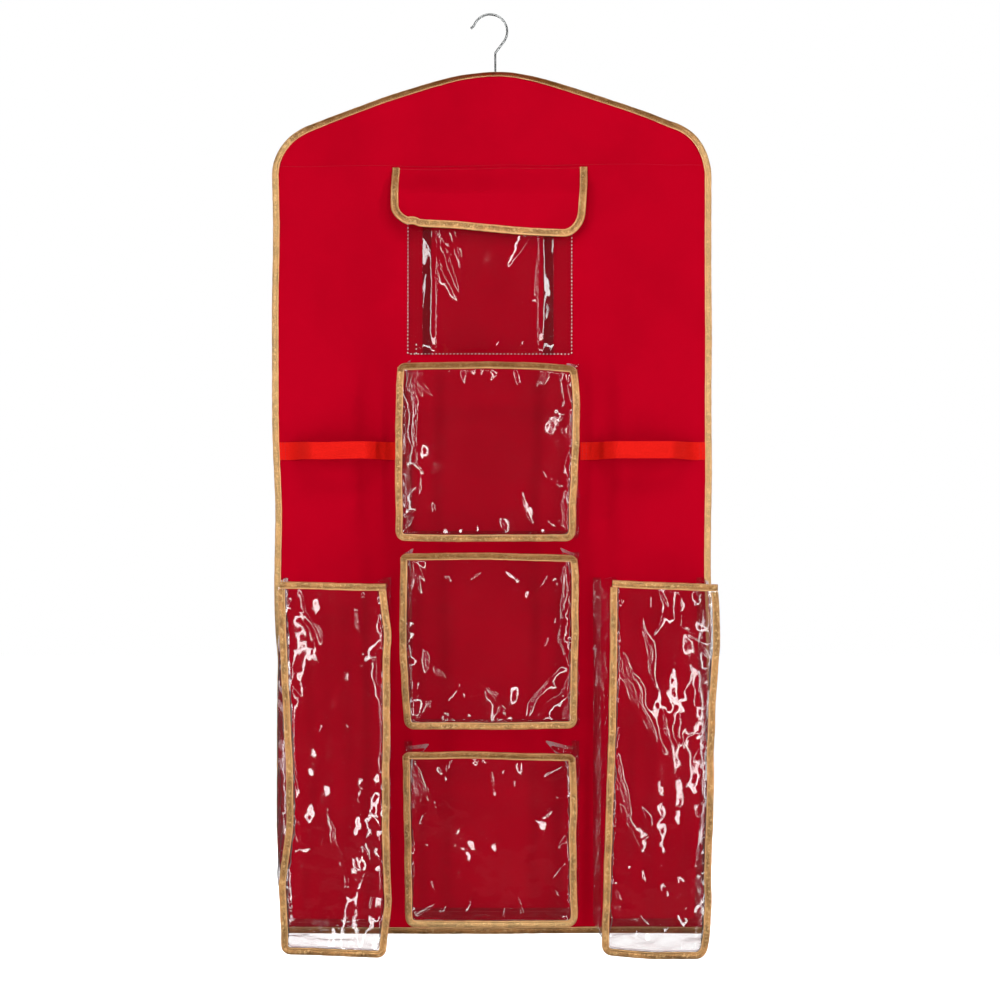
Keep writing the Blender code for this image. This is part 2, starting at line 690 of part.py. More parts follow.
def make_flap(swivel, finishes):
    """The fabric flap and its gold edge tape, which turn about the seam under the sleeve."""
    seam = bpy.data.objects.new("flap_seam", None)
    seam.location = (-BAR_SLIP, FLAP_SEAM_Y, SLEEVE_SEAM)
    bpy.data.collections["gift_wrap_organizer"].objects.link(seam)
    seam.parent = swivel
    inset = TAPE + GAP
    straight = FLAP_DROP - FLAP_CORNER_RADIUS
    drops = [drop for drop, _ in flap_profile()] + [straight]
    for i in range(1, FLAP_CORNER_STEPS + 1):
        drops.append(straight + (FLAP_CORNER_RADIUS - inset) * math.sin(i / FLAP_CORNER_STEPS * math.pi / 2))
    rails = []
    for drop in drops:
        half = flap_half_width(drop, inset)
        rails.append([(half * share, flap_y(drop), -drop) for share in FLAP_WIDTH_SHARES])
    place(loft("flap", rails, FABRIC), finishes["red_fabric"], seam)

    off = FABRIC / 2 + GAP + TAPE / 2
    section = [(FLAP_BINDING_LEG, -off), (TAPE / 2, -off), (TAPE / 2, off), (FLAP_BINDING_LEG, off)]
    rails = [[(x, flap_y(drop) + y, -drop) for x, drop in flap_edge(inset)] for inset, y in section]
    place(loft("flap_edge_tape", rails, TAPE), finishes["gold_tape"], seam)
    make_closure(seam, swivel, finishes)


def make_closure(seam, swivel, finishes):
    """The hook-and-loop pair that holds the flap shut: one tape on the pocket, one inside the flap."""
    half = CLOSURE_WIDTH / 2
    top = PLEAT_POCKET_TOP - CLOSURE_BELOW_MOUTH
    strip = [(-half, top), (half, top), (half, top - CLOSURE_HEIGHT), (-half, top - CLOSURE_HEIGHT)]
    loop_front = -(PLEAT_POCKET_DEPTH + VINYL / 2 + GAP + HOOK_AND_LOOP)
    sew(plate("pocket_loop_tape", strip, loop_front, HOOK_AND_LOOP), finishes["red_elastic"], swivel)
    hook_tape = plate("flap_hook_tape", strip, loop_front - GAP - HOOK_AND_LOOP, HOOK_AND_LOOP)
    hook_tape.location.y -= FLAP_SEAM_Y
    hook_tape.location.z -= SLEEVE_SEAM
    place(hook_tape, finishes["red_elastic"], seam)


def make_straps(swivel, finishes):
    """The elastic straps: each is sewn down at both ends and stands off the panel between them."""
    foot_y = -(GAP + ELASTIC / 2)
    outer = PANEL_HALF - BINDING_LEG - GAP
    inner = BOX_WIDTH / 2 + BOX_SPREAD + GAP + ELASTIC
    for side, name in ((-1, "elastic_strap_left"), (1, "elastic_strap_right")):
        line = [(outer, foot_y)]
        line += strap_ramp(outer - STRAP_FOOT, -STRAP_RAMP_OUTER, foot_y)
        line += reversed(strap_ramp(inner + STRAP_FOOT, STRAP_RAMP_INNER, foot_y))
        line += [(inner, foot_y)]
        rails = [
            [(side * x, y, STRAP_CENTRE + across) for x, y in line]
            for across in (-STRAP_WIDTH / 2, STRAP_WIDTH / 2)
        ]
        sew(loft(name, rails, ELASTIC), finishes["red_elastic"], swivel)


def strap_ramp(start, run, foot_y):
    """The strap's rise from a sewn foot to its full depth, eased at both ends: (x, y)."""
    points = []
    for i in range(STRAP_BEND_STEPS + 1):
        share = i / STRAP_BEND_STEPS
        ease = (1 - math.cos(math.pi * share)) / 2
        points.append((start + run * share, foot_y - (STRAP_DEPTH + foot_y) * ease))
    return points


def main():
    swivel, finishes = start()
    make_panel(swivel, finishes)
    make_yoke(swivel, finishes)
    make_hanger_bar(swivel, finishes)
    make_hook(finishes)
    make_pockets(swivel, finishes)
    make_pleated_pocket(swivel, finishes)
    make_flap(swivel, finishes)
    make_straps(swivel, finishes)


main()
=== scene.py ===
# %% [markdown]
# # A hanging organizer for gift wrap
#
# The real thing is a red cloth panel, bound with gold tape, that hangs from a swivel hook. Clear
# vinyl pockets and elastic straps are sewn to it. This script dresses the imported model: every soft
# piece is made again here with its folds, seams and finish, on the same places as the solids.
# Sewn goods could be simulated, but the panel hangs nearly flat and the vinyl is too stiff to
# drape, so each sheet is a grid of points that named formulas bend. That keeps every seam closed,
# because the pieces that meet at a seam are bent by the same formula.

import json
import math

import bmesh
import bpy
import numpy as np
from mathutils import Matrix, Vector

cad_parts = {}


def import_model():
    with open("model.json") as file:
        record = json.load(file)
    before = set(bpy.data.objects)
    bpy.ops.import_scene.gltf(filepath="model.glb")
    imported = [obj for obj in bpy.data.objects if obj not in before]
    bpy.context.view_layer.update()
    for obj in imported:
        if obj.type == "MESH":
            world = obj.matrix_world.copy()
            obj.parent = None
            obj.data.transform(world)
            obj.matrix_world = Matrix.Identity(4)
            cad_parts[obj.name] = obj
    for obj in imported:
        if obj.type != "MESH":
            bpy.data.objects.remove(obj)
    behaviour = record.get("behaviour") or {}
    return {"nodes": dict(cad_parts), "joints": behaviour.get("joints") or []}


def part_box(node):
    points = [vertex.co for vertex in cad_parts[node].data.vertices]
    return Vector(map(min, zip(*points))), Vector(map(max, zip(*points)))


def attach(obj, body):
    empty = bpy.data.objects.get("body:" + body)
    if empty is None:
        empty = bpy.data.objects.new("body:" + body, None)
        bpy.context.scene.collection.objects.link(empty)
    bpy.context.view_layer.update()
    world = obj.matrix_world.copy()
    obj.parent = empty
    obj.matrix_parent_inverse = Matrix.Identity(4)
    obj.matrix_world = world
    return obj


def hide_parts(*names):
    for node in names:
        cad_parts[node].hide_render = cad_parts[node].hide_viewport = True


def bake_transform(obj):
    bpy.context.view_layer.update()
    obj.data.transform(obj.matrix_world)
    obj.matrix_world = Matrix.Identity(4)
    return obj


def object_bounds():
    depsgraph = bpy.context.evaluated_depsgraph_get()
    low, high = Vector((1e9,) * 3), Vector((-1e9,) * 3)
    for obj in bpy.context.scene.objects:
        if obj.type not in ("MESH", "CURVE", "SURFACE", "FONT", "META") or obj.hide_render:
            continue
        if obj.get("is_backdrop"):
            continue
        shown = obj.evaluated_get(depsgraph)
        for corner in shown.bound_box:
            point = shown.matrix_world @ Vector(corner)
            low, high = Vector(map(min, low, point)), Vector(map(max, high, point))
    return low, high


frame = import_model()
CAD_BOX = [list(corner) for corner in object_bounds()]
print("model box", CAD_BOX)

# %% [markdown]
# ## Sizes read from the frame
#
# The panel, the seams and the pockets lie where the solids are, so their extents are read from
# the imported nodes. Only what a box can't tell, such as the width of a tape's leg or the roundness
# of a corner, is written here again by its real size.

# %% Sizes in metres
CLOTH = 0.0008
VINYL = 0.0005
TAPE = 0.0006
ELASTIC = 0.0012
CLEARANCE = 0.0003
EDGE = 0.0011
TAPE_LEG = 0.0095
FLAP_TAPE_LEG = 0.0105
FIN = 0.01
FLANGE = 0.011

BINDING_LOW, BINDING_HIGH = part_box("edge_binding")
MIDDLE = (BINDING_LOW.x + BINDING_HIGH.x) / 2
HALF_WIDTH = (BINDING_HIGH.x - BINDING_LOW.x) / 2
TOP = BINDING_HIGH.z
BOTTOM = BINDING_LOW.z
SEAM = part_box("flap")[1].z
SWIVEL = {joint["name"]: joint["pos_m"] for joint in frame["joints"]}["hook_swivel"]
print(f"panel {2 * HALF_WIDTH:.3f} by {TOP - BOTTOM:.3f} m, its middle at x {MIDDLE:.4f}, its seam at z {SEAM:.3f}")

# %% [markdown]
# ## The camera
#
# The photograph was taken level, from about two metres, at the height of the panel's middle. An
# upright edge then stays upright in the picture, and the pockets, which stand nearer, look larger
# than the panel behind them. A camera that looks straight along +Y at that height does the same.

# %% Camera
CAMERA_PLACE = (0.014, -2.0, -0.680)
LENS = 51.4
SENSOR_WIDTH = 36


def place_object(name, data):
    """A new object at the origin with this mesh, curve, camera or lamp."""
    made = bpy.data.objects.new(name, data)
    bpy.context.scene.collection.objects.link(made)
    return made


camera = place_object("camera", bpy.data.cameras.new("camera"))
camera.location = CAMERA_PLACE
camera.rotation_euler = (math.radians(90), 0, 0)
camera.data.lens = LENS
camera.data.sensor_width = SENSOR_WIDTH
bpy.context.scene.camera = camera
print("camera at", CAMERA_PLACE, "with a lens of", LENS, "mm")

# %% [markdown]
# ## Writing node trees as sums
#
# Materials and Geometry Nodes trees are both built in code. Adding nodes one by one hides the
# formula, so a small class wraps a socket, and a sum or product of wrapped sockets adds the Math
# node itself. One method makes every other node.

# %% A node tree written in Python
class Link:
    """An output socket. Sums, differences, products and quotients of links add Math nodes."""

    def __init__(self, tree, socket):
        self.tree = tree
        self.socket = socket

    def __add__(self, other):
        return self.tree.maths("ADD", self, other)

    def __radd__(self, other):
        return self.tree.maths("ADD", other, self)

    def __sub__(self, other):
        return self.tree.maths("SUBTRACT", self, other)

    def __rsub__(self, other):
        return self.tree.maths("SUBTRACT", other, self)

    def __mul__(self, other):
        return self.tree.maths("MULTIPLY", self, other)

    def __rmul__(self, other):
        return self.tree.maths("MULTIPLY", other, self)

    def __truediv__(self, other):
        return self.tree.maths("DIVIDE", self, other)

    def __rtruediv__(self, other):
        return self.tree.maths("DIVIDE", other, self)


class Tree:
    """A node tree: of a material, of the world, or of Geometry Nodes."""

    def __init__(self, nodes_owner):
        self.tree = nodes_owner
        self.tree.nodes.clear()

    def node(self, kind, sockets=None, output=0, stops=None, **settings):
        """Adds a node, sets its settings, then its ramp's stops, then its sockets, and returns an output."""
        made = self.tree.nodes.new(kind)
        for name, value in settings.items():
            setattr(made, name, value)
        if stops:
            while len(made.color_ramp.elements) < len(stops):
                made.color_ramp.elements.new(1)
            for element, (place, colour) in zip(made.color_ramp.elements, stops):
                element.position = place
                element.color = colour
        for name, value in (sockets or {}).items():
            if isinstance(value, Link):
                self.tree.links.new(value.socket, made.inputs[name])
            else:
                made.inputs[name].default_value = value
        return Link(self, made.outputs[output] if made.outputs else None)

    def maths(self, operation, first, second=0.0, clamp=False):
        return self.node("ShaderNodeMath", {0: first, 1: second}, operation=operation, use_clamp=clamp)

    def larger(self, first, second):
        return self.maths("MAXIMUM", first, second)

    def mix(self, factor, first, second):
        """A colour between two, at a factor from 0 to 1."""
        sockets = {0: factor, 6: first, 7: second}
        return self.node("ShaderNodeMix", sockets, output=2, data_type="RGBA", clamp_factor=True)

    def smooth(self, value, low, high):
        """0 below low, 1 above high, and a soft step between them."""
        sockets = {"Value": value, "From Min": low, "From Max": high}
        return self.node("ShaderNodeMapRange", sockets, interpolation_type="SMOOTHSTEP")


# %% [markdown]
# ## The finishes
#
# Each finish is one Principled material with procedural nodes. Cloth patterns follow the object's
# own coordinates, because the panel hangs flat. Tape patterns follow two attributes that the tape
# carries, the length along it and the width across it, so they turn corners with it.

# %% A material with its shader
def finish(name, **sockets):
    """A new material with a Principled shader: its tree, and the shader's node."""
    made = bpy.data.materials.new(name)
    made.use_nodes = True
    tree = Tree(made.node_tree)
    shader = tree.tree.nodes.new("ShaderNodeBsdfPrincipled")
    out = tree.tree.nodes.new("ShaderNodeOutputMaterial")
    tree.tree.links.new(shader.outputs[0], out.inputs["Surface"])
    for socket, value in sockets.items():
        shader.inputs[socket.replace("_", " ")].default_value = value
    return made, tree, shader


def feed(tree, shader, **links):
    """Joins links to the shader's sockets."""
    for socket, link in links.items():
        tree.tree.links.new(link.socket, shader.inputs[socket.replace("_", " ")])


def bumped(tree, height, distance):
    """A normal from a height that varies by about 1, worth this many metres."""
    return tree.node("ShaderNodeBump", {"Height": height, "Distance": distance, "Strength": 1.0})


def axes(tree):
    """The object's own x, y and z."""
    place = tree.node("ShaderNodeTexCoord", output="Object")
    return place, [tree.node("ShaderNodeSeparateXYZ", {0: place}, output=axis) for axis in range(3)]


def threads(tree, value, pitch):
    """A wave that rises once for each thread along a value in metres."""
    return tree.maths("ABSOLUTE", tree.maths("SINE", value * (math.pi / pitch)))


def plain_weave(tree, along, across, pitch):
    """Heights of a plain weave: each thread goes over one and under the next."""
    cell = tree.node("ShaderNodeCombineXYZ", {0: along, 1: across})
    over = tree.node("ShaderNodeTexChecker", {"Vector": cell, "Scale": 1 / pitch}, output="Fac")
    return over * threads(tree, along, pitch) + (1 - over) * threads(tree, across, pitch)


def grain(tree, place, scale, detail=2.0):
    """Soft noise from 0 to 1, with this many grains in a metre."""
    return tree.node("ShaderNodeTexNoise", {"Vector": place, "Scale": scale, "Detail": detail}, output="Fac")


def cells(tree, place, scale):
    """The distance to the nearest of points scattered in space, this many in a metre."""
    return tree.node("ShaderNodeTexVoronoi", {"Vector": place, "Scale": scale}, output="Distance")


def carried(tree, name):
    """An attribute that the mesh carries."""
    return tree.node("ShaderNodeAttribute", output="Fac", attribute_name=name)


# %% [markdown]
# ### Red cloth
#
# The panel is a plain woven polyester of about 20 threads to the centimetre. At arm's length it
# looks even, with a faint mottling. An image of cloth would repeat, so the weave is a checker of
# sine waves, and two noises vary its colour and gloss.

# %% Red cloth
RED = (0.475, 0.0002, 0.0125, 1)
RED_DEEP = (0.41, 0.0001, 0.0105, 1)
THREAD_PITCH = 0.0005


def red_cloth():
    made, tree, shader = finish("red_fabric", Specular_IOR_Level=0.008)
    place, (x, _, z) = axes(tree)
    weave = plain_weave(tree, x, z, THREAD_PITCH)
    cloud = grain(tree, place, 9)
    slub = grain(tree, place, 700, 3)
    colour = tree.mix(tree.smooth(cloud, 0.35, 0.7) * 0.6 + slub * 0.3, RED, RED_DEEP)
    feed(tree, shader, Base_Color=colour, Roughness=0.6 + slub * 0.2)
    feed(tree, shader, Normal=bumped(tree, weave + slub * 0.6 + cloud * 2, 0.00008))
    return made


# %% [markdown]
# ### Gold tape
#
# The binding is a woven ribbon with a flat metal thread, so it glints in small points and bands.
# A smooth gold metal would look like foil. Here a rib runs across the tape at each weft thread,
# noise turns stretches of it darker, and only part of the surface is metal. Painted highlights make
# glints, rib crests, single threads of a fine grain and the tape's edges paler, and a shade attribute
# paints shade and light along each tape.

# %% Gold tape
GOLD = (0.60, 0.245, 0.066, 1)
GOLD_DEEP = (0.16, 0.050, 0.008, 1)
GOLD_HIGHLIGHT = (0.95, 0.62, 0.28, 1)
GOLD_EDGE_HIGHLIGHT = (0.95, 0.54, 0.24, 1)
GOLD_RED_BROWN = (0.21, 0.014, 0.002, 1)
SELVEDGE = 0.0022
FOLD = 0.0012
BELLY = 0.0042
RIB_PITCH = 0.0009
LUREX_PITCH = 0.0006


def gold_tape():
    made, tree, shader = finish("gold_tape", Specular_IOR_Level=0.4)
    place, _ = axes(tree)
    along, across, shade = (carried(tree, name) for name in ("along", "across", "shade"))
    ribs = threads(tree, along, RIB_PITCH)
    lurex = plain_weave(tree, along, across, LUREX_PITCH)
    glint = cells(tree, place, 900)
    strip = tree.node("ShaderNodeCombineXYZ", {0: along * 26, 1: across * 210})
    streak = grain(tree, strip, 1.0, 3)
    patch = tree.smooth(grain(tree, place, 50, 3), 0.44, 0.60)
    spark = tree.smooth(grain(tree, place, 240, 3), 0.50, 0.68)
    at_fold = tree.maths("ABSOLUTE", across - TAPE_LEG)
    # A painted highlight along the tape's free edges and its fold.
    tape_edge_highlight = 1 - tree.smooth(across, SELVEDGE * 0.4, SELVEDGE)
    tape_edge_highlight = tree.larger(tape_edge_highlight, (1 - tree.smooth(at_fold, FOLD * 0.5, FOLD * 1.4)) * 0.8)
    belly = tree.smooth(across, SELVEDGE, BELLY) * tree.smooth(at_fold, FOLD, BELLY)
    tone = tree.mix(tree.smooth(streak, 0.32, 0.55), GOLD_DEEP, GOLD)
    tone = tree.mix(patch * 0.6 + belly * 0.25, tone, GOLD_DEEP)
    # Painted highlights: glints, rib crests and the sparks of a fine grain are made paler.
    tone = tree.mix(tree.smooth(glint, 0.35, 0.7) * 0.3 + ribs * 0.15 + spark * 0.45, tone, GOLD_HIGHLIGHT)
    # Painted shade and light from the tape's shade attribute: above 0 towards deep gold, above 1 towards red-brown,
    # below 0 towards the highlight gold.
    for share, gold in ((shade, GOLD_DEEP), (shade - 1, GOLD_RED_BROWN), (0 - shade, GOLD_HIGHLIGHT)):
        tone = tree.mix(tree.larger(share, 0.0), tone, gold)
    tone = tree.mix(tape_edge_highlight * 0.7, tone, GOLD_EDGE_HIGHLIGHT)
    feed(tree, shader, Base_Color=tone, Metallic=0.5 + patch * 0.25 + glint * 0.2)
    feed(tree, shader, Roughness=0.22 + streak * 0.3)
    feed(tree, shader, Normal=bumped(tree, ribs * 0.7 + lurex * 0.5 + glint * 0.6 + streak * 5 + patch * 2, 0.00013))
    return made


# %% [markdown]
# ### Clear vinyl
#
# Clear vinyl shows what is behind it, a little dimmed, and mirrors the lamps where it bends. Glass
# with refraction would be noisy on a sheet this thin. One shader does it: a bright mirror whose
# alpha is low where the sheet is seen square on and rises towards its edges, as Fresnel's law says.
# Only the outer faces mirror, for both sides of the sheet, so no ray is caught between the two. A
# dark share dims what is behind, once on the light's way in and once on its way out. A thin white
# veil is added, denser where the sheet is seen at a slant. Cut edges, sharp folds and the ends of the
# box pockets' walls are whiter still: a painted highlight for the light that such edges catch.

# %% Clear vinyl
VINYL_TONE = (0.86, 0.86, 0.87, 1)
MIRROR_SQUARE_ON = 0.095
VEIL_TONE = (0.74, 0.68, 0.70, 1)
VEIL = 0.0013
VEIL_SLANT = 1.03
DIM = 0.10
DIM_TONE = (0, 0, 0, 1)
PAINTED_HIGHLIGHT_LEVEL = 0.75


def clear_vinyl():
    made, tree, shader = finish("clear_vinyl", Base_Color=VINYL_TONE, Metallic=1.0)
    place, _ = axes(tree)
    facing = tree.node("ShaderNodeLayerWeight", {"Blend": 0.5}, output="Facing")
    inner = tree.node("ShaderNodeNewGeometry", output="Backfacing")
    mirror = MIRROR_SQUARE_ON + (1 - MIRROR_SQUARE_ON) * tree.maths("POWER", facing, 5.0)
    haze = tree.smooth(grain(tree, place, 25, 3), 0.4, 0.75)
    # The veil, plus the painted highlight that the rim attribute marks on cut edges, folds and ends.
    white = (VEIL + haze * VEIL) / (VEIL_SLANT - facing) + carried(tree, "rim") * PAINTED_HIGHLIGHT_LEVEL
    film = mirror + white + DIM
    share = mirror / (mirror + white)
    tone = tree.mix(DIM / film, tree.mix(share, VEIL_TONE, VINYL_TONE), DIM_TONE)
    alpha = tree.maths("MULTIPLY", film, 1 - inner, clamp=True)
    feed(tree, shader, Base_Color=tone, Metallic=share, Alpha=alpha)
    feed(tree, shader, Roughness=0.04 + haze * 0.05)
    feed(tree, shader, Normal=bumped(tree, grain(tree, place, 60, 1), 0.0005))
    return made


# %% [markdown]
# ### Elastic, thread, steel, moulding and closure
#
# The small finishes: ribbed elastic that is brighter than the cloth, twisted sewing thread, the
# hook's bright steel, the moulded hanger in its sleeve, and the two faces of the hook-and-loop
# closure, which are a fuzz of tiny loops.

# %% Elastic, thread, steel, moulding and closure
ELASTIC_RED = (0.86, 0.012, 0.007, 1)
ELASTIC_DEEP = (0.62, 0.004, 0.002, 1)
STEEL = (0.42, 0.43, 0.43, 1)


def scaled(colour, share):
    """A colour with this share of another's light."""
    return (*(channel * share for channel in colour[:3]), 1)


def red_elastic():
    made, tree, shader = finish("red_elastic", Roughness=0.7, Specular_IOR_Level=0.08)
    place, (x, _, z) = axes(tree)
    braid = plain_weave(tree, x, z, 0.0011)
    slub = grain(tree, place, 420, 2)
    # Darker where the braid is low: painted shade in its hollows, with random slubs.
    feed(tree, shader, Base_Color=tree.mix(slub * 0.55 + (1 - braid) * 0.4, ELASTIC_RED, ELASTIC_DEEP))
    feed(tree, shader, Normal=bumped(tree, braid + slub * 0.5, 0.00016))
    return made


def thread(name, colour, roughness=0.5, metallic=0.0):
    made, tree, shader = finish(name, Metallic=metallic)
    place, (x, _, z) = axes(tree)
    twist = threads(tree, x + z * 0.8, 0.0005)
    # Darker between the twist's crests: painted shade in the grooves of the thread.
    tone = tree.mix(twist, scaled(colour, 0.6), colour)
    feed(tree, shader, Base_Color=tone, Roughness=roughness + twist * 0.15)
    return made


def bright_steel():
    made, tree, shader = finish("bright_steel", Metallic=1.0)
    place, _ = axes(tree)
    drawn = grain(tree, place, 90, 2)
    tone = tree.mix(drawn * 0.3, STEEL, scaled(STEEL, 0.85))
    feed(tree, shader, Base_Color=tone, Roughness=0.22 + drawn * 0.05)
    return made


def hanger_plastic():
    made, tree, shader = finish("hanger_plastic", Specular_IOR_Level=0.5)
    place, _ = axes(tree)
    spark = grain(tree, place, 1400, 2)
    cloud = grain(tree, place, 30, 2)
    tone = tree.mix(cloud, (0.80, 0.80, 0.77, 1), (0.72, 0.72, 0.70, 1))
    feed(tree, shader, Base_Color=tone, Roughness=0.38 + spark * 0.14)
    feed(tree, shader, Normal=bumped(tree, spark, 0.00004))
    return made


def red_closure():
    made, tree, shader = finish("red_closure", Roughness=0.9, Sheen_Weight=0.15)
    place, _ = axes(tree)
    fuzz = cells(tree, place, 1500)
    # Darker in the pits of the fuzz: painted shade between the loops.
    feed(tree, shader, Base_Color=tree.mix(fuzz, (0.18, 0.002, 0.004, 1), (0.62, 0.01, 0.014, 1)))
    feed(tree, shader, Normal=bumped(tree, fuzz, 0.0004))
    return made


FINISHES = {
    "red_fabric": red_cloth(),
    "gold_tape": gold_tape(),
    "clear_vinyl": clear_vinyl(),
    "red_elastic": red_elastic(),
    "bright_steel": bright_steel(),
    "hanger_plastic": hanger_plastic(),
    "red_closure": red_closure(),
    "gold_thread": thread("gold_thread", (0.78, 0.52, 0.2, 1), 0.35, 0.4),
    "red_thread": thread("red_thread", (0.5, 0.004, 0.012, 1)),
    "clear_thread": thread("clear_thread", (0.95, 0.9, 0.91, 1), 0.25),
}
print("finishes:", ", ".join(FINISHES))

# %% [markdown]
# ## How the cloth hangs
#
# A hung panel isn't flat: it has long soft waves and its edges wander by a millimetre or two. One
# formula gives that for any point on the panel, and everything sewn to it goes through the same
# formula, so nothing comes off. The waves are a few sine waves in seeded random directions, which
# is smooth, quick and the same on each run.

# %% Soft random waves
def ripple(seed, wavelength, waves=7):
    """A smooth function of x and z, mostly between -1 and 1, with waves of about this length."""
    draw = np.random.default_rng(seed)
    turn = draw.uniform(0, 2 * math.pi, waves)
    size = 2 * math.pi / (wavelength * draw.uniform(0.7, 1.6, waves))
    start = draw.uniform(0, 2 * math.pi, waves)

    def at(x, z):
        phase = np.multiply.outer(x, size * np.cos(turn)) + np.multiply.outer(z, size * np.sin(turn)) + start
        return np.sin(phase).sum(-1) / math.sqrt(waves) / 1.2

    return at


def soft_step(value, low, high):
    """0 below low, 1 above high, smooth between."""
    share = np.clip((value - low) / (high - low), 0, 1)
    return share * share * (3 - 2 * share)


def bell(value, middle, width):
    """1 at the middle, falling off softly on both sides of it."""
    return np.exp(-(((value - middle) / width) ** 2))


MM = 0.001
EDGE_SOFTNESS = 17


def drawn_edge(stops):
    """A smooth function through places along an edge, as shares, and pushes in millimetres."""
    places, pushes = zip(*stops)
    share = np.linspace(-0.3, 1.3, 321)
    window = np.hanning(EDGE_SOFTNESS)
    line = np.pad(np.interp(share, places, pushes), EDGE_SOFTNESS // 2, mode="edge")
    line = np.convolve(line, window / window.sum(), "valid") * MM
    return lambda at: np.interp(at, share, line)


# %% The hang of the panel
WAVE_DEPTH = 0.0019
WAVE_LENGTH = 0.33
BUCKLE_DEPTH = 0.0006
BUCKLE_LENGTH = 0.11
EDGE_WANDER = 0.0011
SEAM_RIDGE = 0.0005
RIDGE_WIDTH = 0.0016
ROOF_DROOP = (
    (0, 2.3), (0.064, 4.6), (0.145, 2.3), (0.2, 1.6), (0.254, 0.8), (0.28, 1.3), (0.337, 2.7), (0.377, 3.4),
    (0.418, 2), (0.473, 1.4), (0.528, -0.1), (0.582, 1.2), (0.637, 2.1), (0.69, 0.6), (0.746, -0.3), (0.8, -1.1),
    (0.854, -1.5), (0.91, 0.4), (0.965, -1), (1, 2),
)
LEFT_PULL = (
    (0, 0), (0.05, 0), (0.1, -3), (0.31, -3.2), (0.35, -1), (0.39, 2.4), (0.42, 3.4), (0.49, 3.4),
    (0.54, 1), (0.58, 0),
)
RIGHT_PULL = ((0, -3), (0.06, -4), (0.12, -6.5), (0.27, -6.5), (0.34, -3), (0.41, 0))
LEFT_TURN = math.radians(26)
MARGIN = TAPE_LEG + 0.002
MARGIN_BEND = 0.004
MARGIN_TURN = math.radians(62)
MARGIN_ZONE = (0.78, 0.92)
LEFT_ZONE = (0.86, 0.93)
LEFT_END = (1.17, 1.24)
CORNER_ZONE = (1.12, 1.27)
MARGIN_PULL = 0.0024
CORNER_PULL = 0.005
MARGIN_REACH = 0.05
long_wave = ripple(3, WAVE_LENGTH)
buckle = ripple(8, BUCKLE_LENGTH)
sideways = ripple(21, 0.24)
roof_droop = drawn_edge(ROOF_DROOP)
left_pull = drawn_edge(LEFT_PULL)
right_pull = drawn_edge(RIGHT_PULL)
BAR_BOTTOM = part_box("hanger_bar")[0].z


def panel_wave(x, z):
    """How far the hung cloth stands behind its plane; in front of the hanger bar only forward."""
    wave = WAVE_DEPTH * long_wave(x, z) + BUCKLE_DEPTH * buckle(x, z)
    sleeve = soft_step(z, SEAM, BAR_BOTTOM + 0.02)
    wave = wave * (1 - sleeve) - np.abs(wave) * 0.5 * sleeve
    return wave - SEAM_RIDGE * bell(z, SEAM, RIDGE_WIDTH)


def margin_turn(z, side):
    """How far a side margin of the panel is turned back at this height, by the tall pockets' pull."""
    left = (side < 0) * soft_step(-z, *LEFT_ZONE) * (1 - soft_step(-z, *LEFT_END))
    return MARGIN_TURN * soft_step(-z, *MARGIN_ZONE) + LEFT_TURN * left


def fold_margin(points):
    """Turns whatever lies on the panel's side margins back behind the tall pockets."""
    moved = np.array(points, float)
    x, y, z = points[..., 0], points[..., 1], points[..., 2]
    side = np.sign(x - MIDDLE)
    past = np.maximum(np.abs(x - MIDDLE) - (HALF_WIDTH - MARGIN), 0)
    full = np.maximum(margin_turn(z, side), 1e-6)
    turn = full * np.minimum(past / MARGIN_BEND, 1)
    radius, straight = MARGIN_BEND / full, np.maximum(past - MARGIN_BEND, 0)
    out = radius * np.sin(turn) + straight * np.cos(turn) - y * np.sin(turn)
    moved[..., 0] += side * (out - past)
    moved[..., 1] = radius * (1 - np.cos(turn)) + straight * np.sin(turn) + y * np.cos(turn)
    drawn_in = MARGIN_PULL * soft_step(-z, *MARGIN_ZONE) + CORNER_PULL * soft_step(-z, *CORNER_ZONE)
    up = (z - BOTTOM) / (TOP - BOTTOM)
    drawn_in = drawn_in + np.where(side < 0, left_pull(up), right_pull(up))
    drawn_in = drawn_in * np.clip(1 + y / MARGIN_REACH, 0, 1)
    moved[..., 0] -= side * drawn_in * soft_step(np.abs(x - MIDDLE), HALF_WIDTH * 0.45, HALF_WIDTH * 0.97)
    return moved


def hang(points):
    """Moves points of anything sewn to the panel as the panel hangs."""
    points = np.asarray(points, float)
    moved = fold_margin(points)
    x, z = points[..., 0], points[..., 2]
    reach = soft_step(np.abs(x - MIDDLE), HALF_WIDTH * 0.6, HALF_WIDTH)
    low = soft_step(-z, -SEAM, -SEAM + 0.1)
    moved[..., 0] += EDGE_WANDER * sideways(x * 0.3, z) * reach * low
    moved[..., 2] -= roof_droop((x - BINDING_LOW.x) / (2 * HALF_WIDTH)) * soft_step(z, SEAM - 0.08, SEAM + 0.03)
    moved[..., 1] += panel_wave(x, z)
    return moved


# %% [markdown]
# ## Building sheets
#
# A sheet of cloth or vinyl is a grid of points with a thickness. Solidify could give the
# thickness, but doing it here on the grid keeps the faces in order, gives each point its place on
# the flat cut as a UV, and leaves one closed mesh with its faces outward.

# %% Sheets from a grid
FOLD_HIGHLIGHT = 0.5


def new_mesh(name, vertices, edges, faces):
    mesh = bpy.data.meshes.new(name)
    mesh.from_pydata(vertices, edges, faces)
    return mesh


def turn_outward(mesh):
    """Turns the faces of a closed mesh outward."""
    solid = bmesh.new()
    solid.from_mesh(mesh)
    if solid.calc_volume(signed=True) < 0:
        bmesh.ops.reverse_faces(solid, faces=solid.faces)
    solid.to_mesh(mesh)
    solid.free()


def paint(mesh, colour):
    """Gives a mesh one finish."""
    mesh.materials.clear()
    mesh.materials.append(FINISHES[colour])


